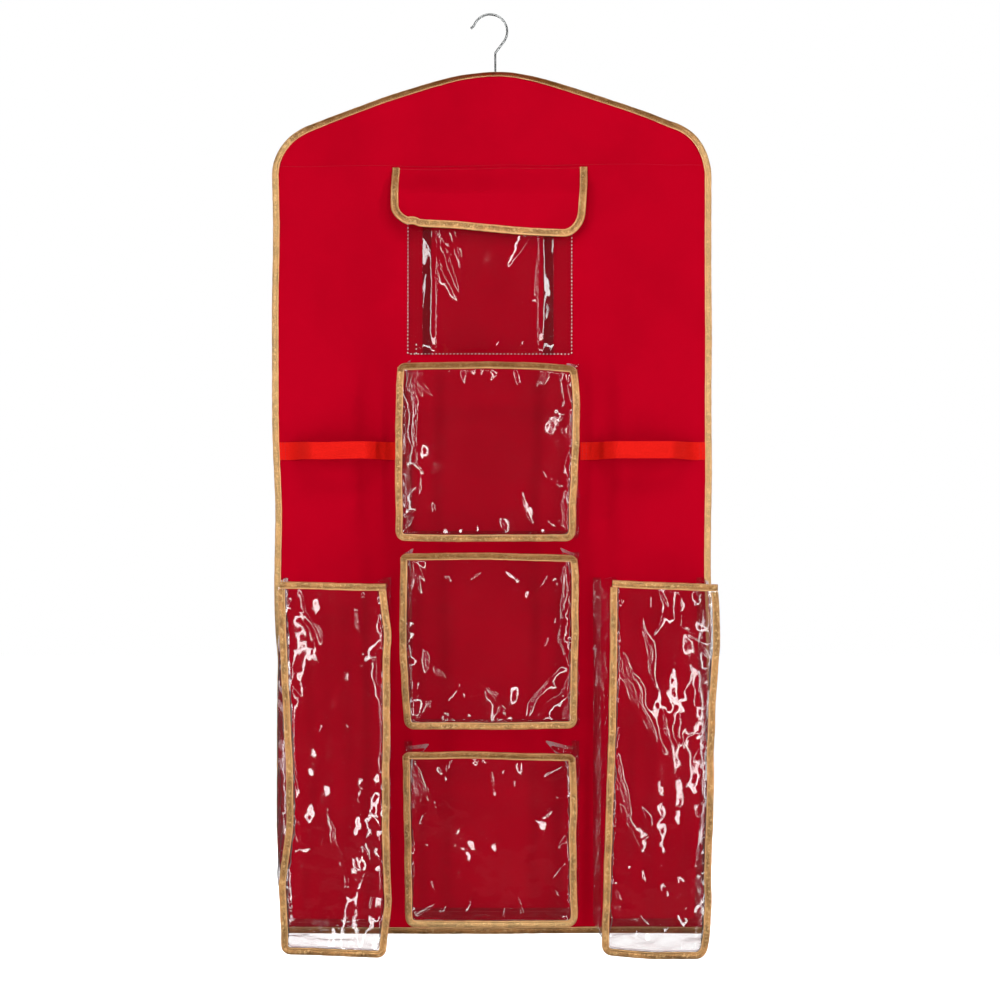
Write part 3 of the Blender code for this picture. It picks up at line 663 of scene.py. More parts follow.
def painted_object(name, mesh, colour, sharp=40):
    """An object of this mesh in one finish, with its edges sharp from an angle in degrees."""
    mesh.set_sharp_from_angle(angle=math.radians(sharp))
    paint(mesh, colour)
    return place_object(name, mesh)


def grid_normals(points):
    """The unit normal at each point of a grid."""
    normal = np.cross(np.gradient(points, axis=0), np.gradient(points, axis=1))
    return normal / np.maximum(np.linalg.norm(normal, axis=-1, keepdims=True), 1e-12)


def sheet_mesh(name, points, wall, colour, folds=(), edge_white=1.0, end_white=0.0):
    """A sheet of this thickness through a grid of points, with painted highlights on its folds, cut edges and ends.
    """
    rows, columns = points.shape[:2]
    count = rows * columns
    shift = grid_normals(points) * wall / 2
    vertices = np.concatenate([(points + shift).reshape(-1, 3), (points - shift).reshape(-1, 3)])
    index = np.arange(count).reshape(rows, columns)
    front = np.stack([index[:-1, :-1], index[:-1, 1:], index[1:, 1:], index[1:, :-1]], -1).reshape(-1, 4)
    rim = np.concatenate([index[0, :-1], index[:-1, -1], index[-1, :0:-1], index[:0:-1, 0]])
    after = np.roll(rim, -1)
    side = np.stack([rim, rim + count, after + count, after], -1)
    faces = np.concatenate([front, front[:, ::-1] + count, side[:, ::-1]])
    mesh = new_mesh(name, vertices.tolist(), [], faces.tolist())
    turn_outward(mesh)
    mesh.shade_smooth()
    made = painted_object(name, mesh, colour)
    # Painted highlights for the vinyl's shader: whiter fold rows, ends and cut edges.
    white = np.zeros((rows - 1, columns - 1))
    white[list(folds)] = FOLD_HIGHLIGHT
    white[:, [0, -1]] += end_white
    highlight_share = np.concatenate([white.ravel(), white.ravel(), np.full(len(side), edge_white)])
    made.data.attributes.new("rim", "FLOAT", "FACE").data.foreach_set("value", highlight_share)
    cut = np.stack([path_length(points, 1), path_length(points, 0)], -1).reshape(-1, 2)
    layer = made.data.uv_layers.new(name="cut")
    corners = np.empty(len(made.data.loops), int)
    made.data.loops.foreach_get("vertex_index", corners)
    layer.data.foreach_set("uv", cut[corners % count].ravel())
    return made


def path_length(points, axis):
    """Length of the path to each point of a grid along one of its axes."""
    steps = np.linalg.norm(np.diff(points, axis=axis), axis=-1)
    total = np.cumsum(steps, axis=axis)
    start = np.zeros_like(np.take(total, [0], axis=axis))
    return np.concatenate([start, total], axis=axis)


def report(made):
    """Prints how large a piece came out."""
    triangles = sum(len(face.vertices) - 2 for face in made.data.polygons)
    print(f"{made.name}: {triangles} triangles")
    return made


def sew_on(made, body, slot, *nodes):
    """Puts a finished piece on its body, in place of these nodes. Its slot is not used."""
    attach(made, body)
    if nodes:
        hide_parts(*nodes)
    return made


def sewn_sheet(name, points, wall, colour, node, **looks):
    """A sheet in place of one node, on the organizer's body."""
    return sew_on(report(sheet_mesh(name, points, wall, colour, **looks)), "organizer", colour, node)


# %% [markdown]
# ## Tapes and stitches with Geometry Nodes
#
# A folded tape has the same section everywhere along its path, and a row of stitches repeats one
# stitch. Both are what Geometry Nodes do well. A path is a chain of edges, whose points carry the
# direction that the tape's back faces. One tree sweeps a folded section along such a path and
# puckers it. The other lays stitches on it. The results are turned into plain meshes.

# %% Running a Geometry Nodes tree
def geometry_tree(name, inputs):
    """A tree with a path as its first input and these named inputs after it."""
    tree = Tree(bpy.data.node_groups.new(name, "GeometryNodeTree"))
    interface = tree.tree.interface
    interface.new_socket(name="Path", in_out="INPUT", socket_type="NodeSocketGeometry")
    for label, kind in inputs.items():
        interface.new_socket(name=label, in_out="INPUT", socket_type=f"NodeSocket{kind}")
    interface.new_socket(name="Geometry", in_out="OUTPUT", socket_type="NodeSocketGeometry")
    source = tree.tree.nodes.new("NodeGroupInput")
    return tree, {socket.name: Link(tree, socket) for socket in source.outputs if socket.name}


def finish_tree(tree, geometry, material):
    """Ends a tree in Realize Instances and Set Material."""
    real = tree.node("GeometryNodeRealizeInstances", {"Geometry": geometry})
    smooth = tree.node("GeometryNodeSetShadeSmooth", {"Geometry": real})
    painted = tree.node("GeometryNodeSetMaterial", {"Geometry": smooth, "Material": material})
    tree.node("NodeGroupOutput", {0: painted})


def shaped_mesh(made):
    """The mesh of an object with its modifiers or its bevel applied."""
    graph = bpy.context.evaluated_depsgraph_get()
    return bpy.data.meshes.new_from_object(made.evaluated_get(graph))


def run_tree(name, tree, path, colour, **values):
    """Runs a tree on a path object and returns its result as a plain mesh object."""
    modifier = path.modifiers.new("shape", "NODES")
    modifier.node_group = tree.tree
    values["finish"] = FINISHES[colour]
    for item in tree.tree.interface.items_tree:
        label = item.name.replace(" ", "_").lower()
        if item.in_out == "INPUT" and label in values:
            modifier[item.identifier] = values[label]
    mesh = shaped_mesh(path)
    bpy.data.objects.remove(path)
    mesh.name = name
    turn_outward(mesh)
    return report(painted_object(name, mesh, colour, sharp=50))


def path_object(chains, closed=False):
    """Chains of points joined by edges, each point with the direction its tape's back faces."""
    vertices, edges, facings = [], [], []
    for points, facing in chains:
        first = len(vertices)
        vertices += [tuple(point) for point in points]
        facings.append(np.broadcast_to(facing, (len(points), 3)))
        edges += [(first + i, first + i + 1) for i in range(len(points) - 1)]
        if closed:
            edges.append((len(vertices) - 1, first))
    mesh = new_mesh("path", vertices, edges, [])
    facing = mesh.attributes.new("facing", "FLOAT_VECTOR", "POINT")
    facing.data.foreach_set("vector", np.concatenate(facings).astype(np.float32).ravel())
    return place_object("path", mesh)


# %% The tree of a folded tape
def tape_tree():
    inputs = {"Section": "Object", "Pucker": "Float", "Pucker Length": "Float", "Seed": "Float", "Finish": "Material"}
    tree, given = geometry_tree("folded_tape", inputs)
    facing = tree.node("GeometryNodeInputNamedAttribute", {"Name": "facing"}, data_type="FLOAT_VECTOR")
    line = tree.node("GeometryNodeMeshToCurve", {"Mesh": given["Path"]})
    line = tree.node("GeometryNodeSetCurveNormal", {"Curve": line, "Normal": facing}, mode="FREE")
    length = tree.node("GeometryNodeSplineParameter", output="Length")
    line = tree.node("GeometryNodeStoreNamedAttribute", {"Geometry": line, "Name": "along", "Value": length})
    section = tree.node("GeometryNodeObjectInfo", {"Object": given["Section"]}, output="Geometry")
    section = tree.node("GeometryNodeMeshToCurve", {"Mesh": section})
    width = tree.node("GeometryNodeSplineParameter", output="Length")
    section = tree.node("GeometryNodeStoreNamedAttribute", {"Geometry": section, "Name": "across", "Value": width})
    tape = tree.node("GeometryNodeCurveToMesh", {"Curve": line, "Profile Curve": section, "Fill Caps": True})
    place = tree.node("GeometryNodeInputPosition")
    seeded = {"Vector": place, "W": given["Seed"], "Scale": 1 / given["Pucker Length"], "Detail": 2.0}
    wave = tree.node("ShaderNodeTexNoise", seeded, noise_dimensions="4D")
    normal = tree.node("GeometryNodeInputNormal")
    height = (wave - 0.5) * given["Pucker"]
    offset = tree.node("ShaderNodeVectorMath", {0: normal, "Scale": height}, operation="SCALE")
    puckered = tree.node("GeometryNodeSetPosition", {"Geometry": tape, "Offset": offset})
    finish_tree(tree, puckered, given["Finish"])
    return tree


# %% The tree of a row of stitches
def stitch_tree():
    inputs = {"Pitch": "Float", "Stitch": "Float", "Thickness": "Float", "Seed": "Int", "Finish": "Material"}
    tree, given = geometry_tree("row_of_stitches", inputs)
    facing = tree.node("GeometryNodeInputNamedAttribute", {"Name": "facing"}, data_type="FLOAT_VECTOR")
    line = tree.node("GeometryNodeMeshToCurve", {"Mesh": given["Path"]})
    line = tree.node("GeometryNodeResampleCurve", {"Curve": line, "Length": given["Pitch"]}, mode="LENGTH")
    bead = tree.node("GeometryNodeMeshUVSphere", {"Segments": 6, "Rings": 4, "Radius": 0.5})
    tangent = tree.node("GeometryNodeInputTangent")
    align = "FunctionNodeAlignRotationToVector"
    turned = tree.node(align, {"Vector": tangent}, axis="X")
    turned = tree.node(align, {"Rotation": turned, "Vector": facing}, axis="Y", pivot_axis="X")
    spread = {2: 0.86, 3: 1.08, "Seed": given["Seed"]}
    uneven = tree.node("FunctionNodeRandomValue", spread, output=1, data_type="FLOAT")
    length, wide, high = given["Stitch"] * uneven, given["Thickness"] * 0.8, given["Thickness"] * uneven
    size = tree.node("ShaderNodeCombineXYZ", {0: length, 1: wide, 2: high})
    laid = {"Points": line, "Instance": bead, "Rotation": turned, "Scale": size}
    finish_tree(tree, tree.node("GeometryNodeInstanceOnPoints", laid), given["Finish"])
    return tree


TAPE_TREE = tape_tree()
STITCH_TREE = stitch_tree()
STITCH_PITCH = 0.0034
STITCH_LENGTH = 0.0027
THREAD_THICKNESS = 0.00055
THREAD_LIFT = 0.0001
STITCH_SEED = 4

# %% [markdown]
# ### The section of a folded tape
#
# The tape is folded over the cloth's edge, so its section is a U. Its two free edges are turned
# under and a little thicker, and it is drawn in where the stitches hold it. Those three small
# shapes are what catches the light along a real tape.

# %% The tape's section
LIP = 0.0004
LIP_WIDTH = 0.0016
STITCH_INSET = 0.0024
GROOVE = 0.0003
PUFF = 0.0003


def tape_section(leg, gap):
    """A closed section, as points across the cloth and in from the fold, for a gap of this half width."""
    outer = gap + TAPE
    outside = [
        (outer + LIP * 0.3, leg),
        (outer + LIP, leg - LIP_WIDTH * 0.3),
        (outer + LIP * 0.8, leg - LIP_WIDTH),
        (outer - GROOVE, leg - STITCH_INSET),
        (outer + PUFF * 0.7, leg - STITCH_INSET * 1.6),
        (outer + PUFF, leg * 0.5),
        (outer + PUFF * 0.6, outer * 1.6),
    ]
    fold = [(outer * math.sin(turn), outer - outer * math.cos(turn)) for turn in np.linspace(1.25, 0, 4)]
    inside = [(gap, leg), (gap, outer), (gap * 0.7, outer - gap * 0.7), (0, outer - gap)]
    right = outside + fold
    ring = [(-x, y) for x, y in right] + right[-2::-1] + inside + [(-x, y) for x, y in inside[-2::-1]]
    edges = [(i, (i + 1) % len(ring)) for i in range(len(ring))]
    return place_object("tape_section", new_mesh("tape_section", [(x, y, 0) for x, y in ring], edges, []))


def even_count(points, count):
    """A path with this many points, evenly spaced."""
    length = path_length(points, 0)
    stops = np.linspace(0, length[-1], count)
    return np.stack([np.interp(stops, length, points[:, axis]) for axis in range(points.shape[1])], -1)


def evenly(points, pitch):
    """The same path with its points at about this distance from each other."""
    points = np.asarray(points, float)
    return even_count(points, max(int(round(path_length(points, 0)[-1] / pitch)), 2) + 1)


BACKWARD = (0.0, 1.0, 0.0)
TAPE_STEP = 0.004
PUCKER = 0.0012
PUCKER_LENGTH = 0.011


def points_of(made):
    """The places of a piece's vertices."""
    place = np.empty(len(made.data.vertices) * 3)
    made.data.vertices.foreach_get("co", place)
    return place.reshape(-1, 3)


def folded_tape(name, path, facing, leg, gap, shade, seed=1.0, closed=False):
    """A tape folded over an edge, whose outer edge follows a path. Shade says where painted shade darkens it and
    painted light brightens it.
    """
    section = tape_section(leg, gap)
    chain = path_object([(path, facing)], closed)
    sizes = {"pucker": PUCKER, "pucker_length": PUCKER_LENGTH, "seed": seed}
    made = run_tree(name, TAPE_TREE, chain, "gold_tape", section=section, **sizes)
    bpy.data.objects.remove(section)
    made.data.attributes.new("shade", "FLOAT", "POINT").data.foreach_set("value", shade(points_of(made)))
    return made


def stitches(name, rows, colour, pitch=STITCH_PITCH, length=STITCH_LENGTH, thickness=THREAD_THICKNESS):
    """Rows of stitches along paths, all in one mesh."""
    chains = path_object([(row, BACKWARD) for row in rows])
    sizes = {"pitch": pitch, "stitch": length, "thickness": thickness, "seed": STITCH_SEED}
    return run_tree(name, STITCH_TREE, chains, colour, **sizes)


ROWS = {"gold_thread": [], "red_thread": [], "clear_thread": []}


def sew_line(colour, points, settle=hang):
    """Notes a line of stitches, to be made with all the others of its colour."""
    ROWS[colour].append(settle(evenly(points, TAPE_STEP)))


# %% [markdown]
# ## The panel
#
# The panel's outline has a round peak, sloping shoulders and square lower corners. It is drawn as
# six arcs, and the cloth is a grid of upright columns between its upper and lower edge. A filled
# curve would be quicker, but its long triangles could not follow the waves.

# %% The panel's outline
SHOULDER_SLOPE = math.radians(19.2)
PEAK_RADIUS = 0.3
SHOULDER_RADIUS = 0.078
CORNER_RADIUS = 0.014
ARC_STEPS = 24


def points_at(x, y, z):
    """Points whose x, y and z are given as grids, paths or single numbers."""
    return np.stack(np.broadcast_arrays(x, y, z), -1)


def arc(cx, cz, radius, start, end, steps):
    """Points of an arc, as x and z."""
    turn = np.linspace(start, end, steps + 1)
    return np.stack([cx + radius * np.cos(turn), cz + radius * np.sin(turn)], -1)


def chord(radius, past):
    """How far a circle reaches sideways at this distance from its centre."""
    return np.sqrt(np.maximum(radius**2 - past**2, 0))


def half_outline(inset):
    """The panel's right half from its peak to the middle of its lower edge, drawn in by the inset."""
    side = math.pi / 2 - SHOULDER_SLOPE
    peak_z = TOP - PEAK_RADIUS
    shoulder_x = HALF_WIDTH - SHOULDER_RADIUS
    drop = PEAK_RADIUS - SHOULDER_RADIUS - math.sin(SHOULDER_SLOPE) * shoulder_x
    shoulder_z = peak_z + drop / math.cos(SHOULDER_SLOPE)
    corner_x, corner_z = HALF_WIDTH - CORNER_RADIUS, BOTTOM + CORNER_RADIUS
    return np.concatenate(
        [
            arc(0, peak_z, PEAK_RADIUS - inset, math.pi / 2, side, ARC_STEPS),
            arc(shoulder_x, shoulder_z, SHOULDER_RADIUS - inset, side, 0, ARC_STEPS),
            arc(corner_x, corner_z, CORNER_RADIUS - inset, 0, -math.pi / 2, 8),
            [[0, BOTTOM + inset]],
        ]
    )


def outline(inset, y):
    """The whole outline, counterclockwise from the peak as seen from the front."""
    right = half_outline(inset)
    left = right * (-1, 1)
    ring = np.concatenate([left[:-1], right[::-1][:-1]])
    return points_at(ring[:, 0] + MIDDLE, y, ring[:, 1])


def upper_edge(x, inset=EDGE):
    half = half_outline(inset)[: 2 * (ARC_STEPS + 1)]
    return np.interp(np.abs(x - MIDDLE), half[:, 0], half[:, 1])


def lower_edge(x):
    radius = CORNER_RADIUS - EDGE
    past = np.clip(np.abs(x - MIDDLE) - (HALF_WIDTH - CORNER_RADIUS), 0, radius)
    return BOTTOM + CORNER_RADIUS - chord(radius, past)


def polygon_area(ring):
    """Area of a flat outline given as x and z."""
    x, z = ring[:, 0], ring[:, 1]
    return abs(np.dot(x, np.roll(z, 1)) - np.dot(z, np.roll(x, 1))) / 2


# %% The panel's cloth
PANEL_COLUMNS, PANEL_ROWS = 121, 221


def columns_to(half, count):
    """Places across the panel, closer together towards its edges."""
    share = np.linspace(-1, 1, count)
    return MIDDLE + half * (0.7 * share + 0.3 * np.sin(share * math.pi / 2))


def panel_cloth():
    x = columns_to(HALF_WIDTH - EDGE, PANEL_COLUMNS)
    high, low = upper_edge(x), lower_edge(x)
    z = low + (high - low) * np.linspace(0, 1, PANEL_ROWS)[:, None]
    made = sewn_sheet("panel_cloth", hang(points_at(x, CLOTH / 2, z)), CLOTH, "red_fabric", "main_panel")
    ring = outline(EDGE, 0)[:, [0, 2]]
    polygon_area(ring)


panel_cloth()

# %% [markdown]
# ## The yoke behind the hanger
#
# A second sheet is sewn behind the panel's top, along the roof and along the cross seam. The
# hanger bar lies in the sleeve between them, so the sheet stands off over the bar and falls back
# to the seam below it. Its height is a formula of the distance from the bar's curved band.

# %% The yoke's cloth
BAR_INSET = 0.024
BAR_HEIGHT = 0.018
BAR_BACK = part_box("hanger_bar")[1].y
BAR_HALF = max(abs(corner.x - MIDDLE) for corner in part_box("hanger_bar")) + 0.003
BAR_EASE = 0.0004
HUB_HALF = 0.017
HUB_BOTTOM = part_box("stem_washer")[0].z - 0.004
YOKE_REST = CLOTH + CLEARANCE + CLOTH / 2
YOKE_RISE = BAR_BACK + CLEARANCE + CLOTH / 2 - YOKE_REST
YOKE_COLUMNS, YOKE_ROWS = 101, 61
YOKE_SLACK = 0.0007
yoke_slack = ripple(31, 0.07)


def yoke_height(x, z):
    """How far the yoke stands behind the panel, as the bar lifts it."""
    crown = upper_edge(x, BAR_INSET)
    below = np.maximum(crown - BAR_HEIGHT - z, 0)
    hub = 1 - soft_step(np.abs(x - SWIVEL[0]), HUB_HALF, HUB_HALF * 2.2)
    below = np.minimum(below, np.maximum(HUB_BOTTOM - z, 0) + (1 - hub))
    above = np.maximum(z - crown, 0)
    end = soft_step(np.abs(x - MIDDLE), BAR_HALF, BAR_HALF + 0.03)
    fall = np.maximum(crown - BAR_HEIGHT - SEAM, 0.02)
    lift = (1 - soft_step(above, 0.0015, BAR_INSET - TAPE_LEG - 0.004)) * (1 - soft_step(below, 0.002, fall * 0.75))
    edge = soft_step(z, SEAM, SEAM + 0.012) * (1 - end)
    slack = YOKE_SLACK * yoke_slack(x, z) * (1 - lift)
    return (lift * YOKE_RISE + slack) * edge, lift * edge


def back_yoke():
    x = columns_to(HALF_WIDTH - EDGE * 1.5, YOKE_COLUMNS)
    z = SEAM + (np.maximum(upper_edge(x), SEAM + 0.002) - SEAM) * np.linspace(0, 1, YOKE_ROWS)[:, None]
    x = np.broadcast_to(x, z.shape)
    points = hang(points_at(x, YOKE_REST, z))
    height, lift = yoke_height(points[..., 0], points[..., 2])
    points[..., 1] += height + lift * (BAR_EASE - np.minimum(panel_wave(x, z), 0))
    return sheet_mesh("yoke_cloth", points, CLOTH, "red_fabric")


YOKE = back_yoke()

# %% [markdown]
# ## The binding round the edge
#
# Gold tape is folded over the edge of the panel and the yoke together. Where the hook's stem comes
# out of the peak, the tape and the yoke have a small hole, cut here with a Boolean.

# %% The binding
BINDING_MIDDLE = (BINDING_LOW.y + BINDING_HIGH.y) / 2
BINDING_GAP = (BINDING_HIGH.y - BINDING_LOW.y) / 2 - TAPE
PEAK_X = 0.002
PEAK_REACH = 0.065
ROOF_NARROWS = 0.14
PEAK_NARROWS = 0.15
ROOF_ZONE = (0.19, 0.27)
STEM_HOLE = 0.0019
SEAM_STITCH = 0.0015


def on_roof(x, z):
    """1 on the middle of the roof and 0 on the shoulders and below, and the same round the peak alone."""
    roof = (1 - soft_step(np.abs(x - MIDDLE), *ROOF_ZONE)) * (z > SEAM)
    return roof, roof * bell(x, PEAK_X, PEAK_REACH)


def narrow_on_roof(points):
    """Draws the tape's free edge up where it is turned further over the roof's edge."""
    x, z = points[..., 0], points[..., 2]
    edge = upper_edge(x, 0) - roof_droop((x - BINDING_LOW.x) / (2 * HALF_WIDTH))
    roof, peak = on_roof(x, z)
    points[..., 2] = edge - (edge - z) * (1 - ROOF_NARROWS * roof - PEAK_NARROWS * peak)
    return points


def binding_shade(place):
    """Painted shade along the roof, which faces the dark above, and along the foot, deep red-brown round the peak,
    and painted light down the sides.
    """
    x, z = place[:, 0], place[:, 2]
    roof = soft_step(z, SEAM + 0.02, SEAM + 0.07)
    foot = soft_step(-z, -BOTTOM - 0.02, -BOTTOM - 0.01)
    side = np.where(x > MIDDLE, -0.44, -0.34) * (1 - roof) * (1 - foot)
    return 0.75 * roof + 1.1 * on_roof(x, z)[1] + 0.5 * foot + side


def closed_outline(inset, y):
    ring = outline(inset, y)
    return np.concatenate([ring, ring[:1]])


def edge_binding():
    ring = evenly(closed_outline(0, BINDING_MIDDLE), TAPE_STEP)[:-1]
    side = np.sign(ring[:, 0] - MIDDLE)
    past = (np.abs(ring[:, 0] - MIDDLE) - HALF_WIDTH + MARGIN) / MARGIN_BEND
    turn = -side * margin_turn(ring[:, 2], side) * np.clip(past, 0, 1)
    facing = points_at(np.sin(turn), np.cos(turn), 0.0)
    made = folded_tape("binding_tape", hang(ring), facing, TAPE_LEG, BINDING_GAP, binding_shade, closed=True)
    made.data.vertices.foreach_set("co", narrow_on_roof(points_of(made)).ravel())
    for y in (BINDING_LOW.y - THREAD_LIFT, BINDING_HIGH.y + THREAD_LIFT):
        line = closed_outline(TAPE_LEG - STITCH_INSET, y)
        sew_line("gold_thread", line, lambda points: narrow_on_roof(hang(points)))
    return made


def drill(made, low, high):
    """Cuts the upright round hole for the hook's stem through a piece."""
    middle = (SWIVEL[0], SWIVEL[1], (low + high) / 2)
    bpy.ops.mesh.primitive_cylinder_add(vertices=20, radius=STEM_HOLE, depth=high - low, location=middle)
    cutter = bpy.context.object
    hole = made.modifiers.new("hole", "BOOLEAN")
    hole.operation = "DIFFERENCE"
    hole.object = cutter
    drilled = shaped_mesh(made)
    made.modifiers.clear()
    made.data = drilled
    bpy.data.objects.remove(cutter)


for made, deep, slot, node in (
    (edge_binding(), 0.014, "gold_tape", "edge_binding"),
    (YOKE, 0.024, "red_fabric", "back_yoke"),
):
    drill(made, TOP - deep, TOP + 0.004)
    sew_on(made, "organizer", slot, node)
yoke_ring = outline(EDGE, 0)[:, [0, 2]]
yoke_area = polygon_area(yoke_ring[yoke_ring[:, 1] > SEAM])
for y in (-CLEARANCE, YOKE_REST + CLOTH / 2 + CLEARANCE):
    ends = [MIDDLE + way * (HALF_WIDTH - TAPE_LEG) for way in (-1, 1)]
    sew_line("red_thread", [(x, y, SEAM + SEAM_STITCH) for x in ends])

# %% [markdown]
# ## The pockets' shape
#
# Each clear pocket is a front sheet, a wall strip round three sides, a tape over the seam between
# them, and a tape over the mouth. All four are first drawn straight, from the solids' extents, and
# then moved by one function for each pocket: the front leans, its edges wander, and the part near
# the panel hangs with the panel. The leans and bulges are read off the photograph.

# %% What a pocket is
FRONT_RADIUS = 0.013
WALL_RADIUS = 0.006
MOUTH_RADIUS = 0.009
ROLL_SEAM = BOTTOM + TAPE_LEG + CLEARANCE + VINYL / 2
SWAY, LIFT, BILLOW, FLUTTER = 0.0005, 0.0004, 0.0022, 0.00035
WANDER_LENGTHS = (0.09, 0.09, 0.2, 0.045)


class Pocket:
    """A clear pocket's extents, read from its nodes, and the way it hangs.

    An edge's wander is a list of places along the edge, as shares, with how far it is pushed there
    in millimetres: the side edges to the right from foot to mouth, the foot and the mouth upward
    from left to right. Creases are given by two ends, in hundredths of the front's width and height,
    and by a height and a width in millimetres. The two shades are painted shade and light on the
    mouth's tape and on the foot's: 1 is painted shade and less than 0 is painted light. An ear, left
    and right, is how far the wall's upper end curls up and inward. A bulge is how far the outer wall
    swells out.
    """

    def __init__(self, name, seed, left, right, foot, mouth, square_mouth, creases, shades, ears, bulge=0.0):
        tape_low, tape_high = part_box(f"{name}_edge_tape")
        wall_low, wall_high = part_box(f"{name}_gusset")
        self.name, self.seed = name, seed
        self.left, self.right = tape_low.x, tape_high.x
        self.bottom, self.top = tape_low.z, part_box(f"{name}_mouth_tape")[1].z
        self.depth = -sum(corner.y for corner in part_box(f"{name}_front")) / 2
        self.back_left, self.back_right = wall_low.x + VINYL / 2, wall_high.x - VINYL / 2
        self.back_bottom = max(self.bottom, ROLL_SEAM)
        self.back_top = wall_high.z
        self.width, self.height = self.right - self.left, self.top - self.bottom
        self.edges = [drawn_edge(stops) for stops in (left, right, foot, mouth)]
        self.square_mouth, self.creases = square_mouth, creases
        self.mouth_shade, self.foot_shade = shades
        self.ears, self.bulge = ears, bulge
        self.outer_x = max(self.left, self.right, key=abs)
        self.wander = [ripple(seed + k, length) for k, length in enumerate(WANDER_LENGTHS)]

    def settle(self, points):
        """Moves straight drawn points to where the soft pocket really is."""
        x, y, z = points[..., 0], points[..., 1], points[..., 2]
        out = np.clip(-y / self.depth, 0, 1)
        up = (z - self.bottom) / self.height
        right = (x - self.left) / self.width
        left_push, right_push, foot_push, mouth_push = self.edges
        sway, lift, billow, flutter = self.wander
        side = np.clip(right, 0, 1)
        dx = left_push(up) * (1 - side) + right_push(up) * side
        dx = dx + SWAY * sway(x, z) + FLUTTER * flutter(x, z)
        rise = np.clip(up, 0, 1)
        dz = foot_push(right) * (1 - rise) + mouth_push(right) * rise + LIFT * lift(x, z)
        moved = hang(points)
        for axis, push in enumerate((dx, BILLOW * billow(x, z), dz)):
            moved[..., axis] += push * out
        return moved

    def half_front(self, z, inset):
        """Half the front's width at a height, with its round corners, drawn in by the inset."""
        half = self.width / 2 - inset
        radius = FRONT_RADIUS - inset
        into = np.clip(self.bottom + FRONT_RADIUS - z, 0, radius)
        cut = radius - chord(radius, into)
        if not self.square_mouth:
            radius = max(MOUTH_RADIUS - inset, 0.001)
            into = np.clip(z - (self.top - MOUTH_RADIUS), 0, radius)
            cut = cut + radius - chord(radius, into)
        return half - cut

    def u_path(self, inset, y, top, radius, box=None):
        """Down the left side, along the bottom and up the right side: points at one depth."""
        left, right, bottom = box or (self.left, self.right, self.bottom)
        left, right, bottom = left + inset, right - inset, bottom + inset
        turn = math.pi / 2
        points = np.concatenate(
            [
                [[left, top]],
                arc(left + radius, bottom + radius, radius, 2 * turn, 3 * turn, 8),
                arc(right - radius, bottom + radius, radius, 3 * turn, 4 * turn, 8),
                [[right, top]],
            ]
        )
        return points_at(points[:, 0], y, points[:, 1])


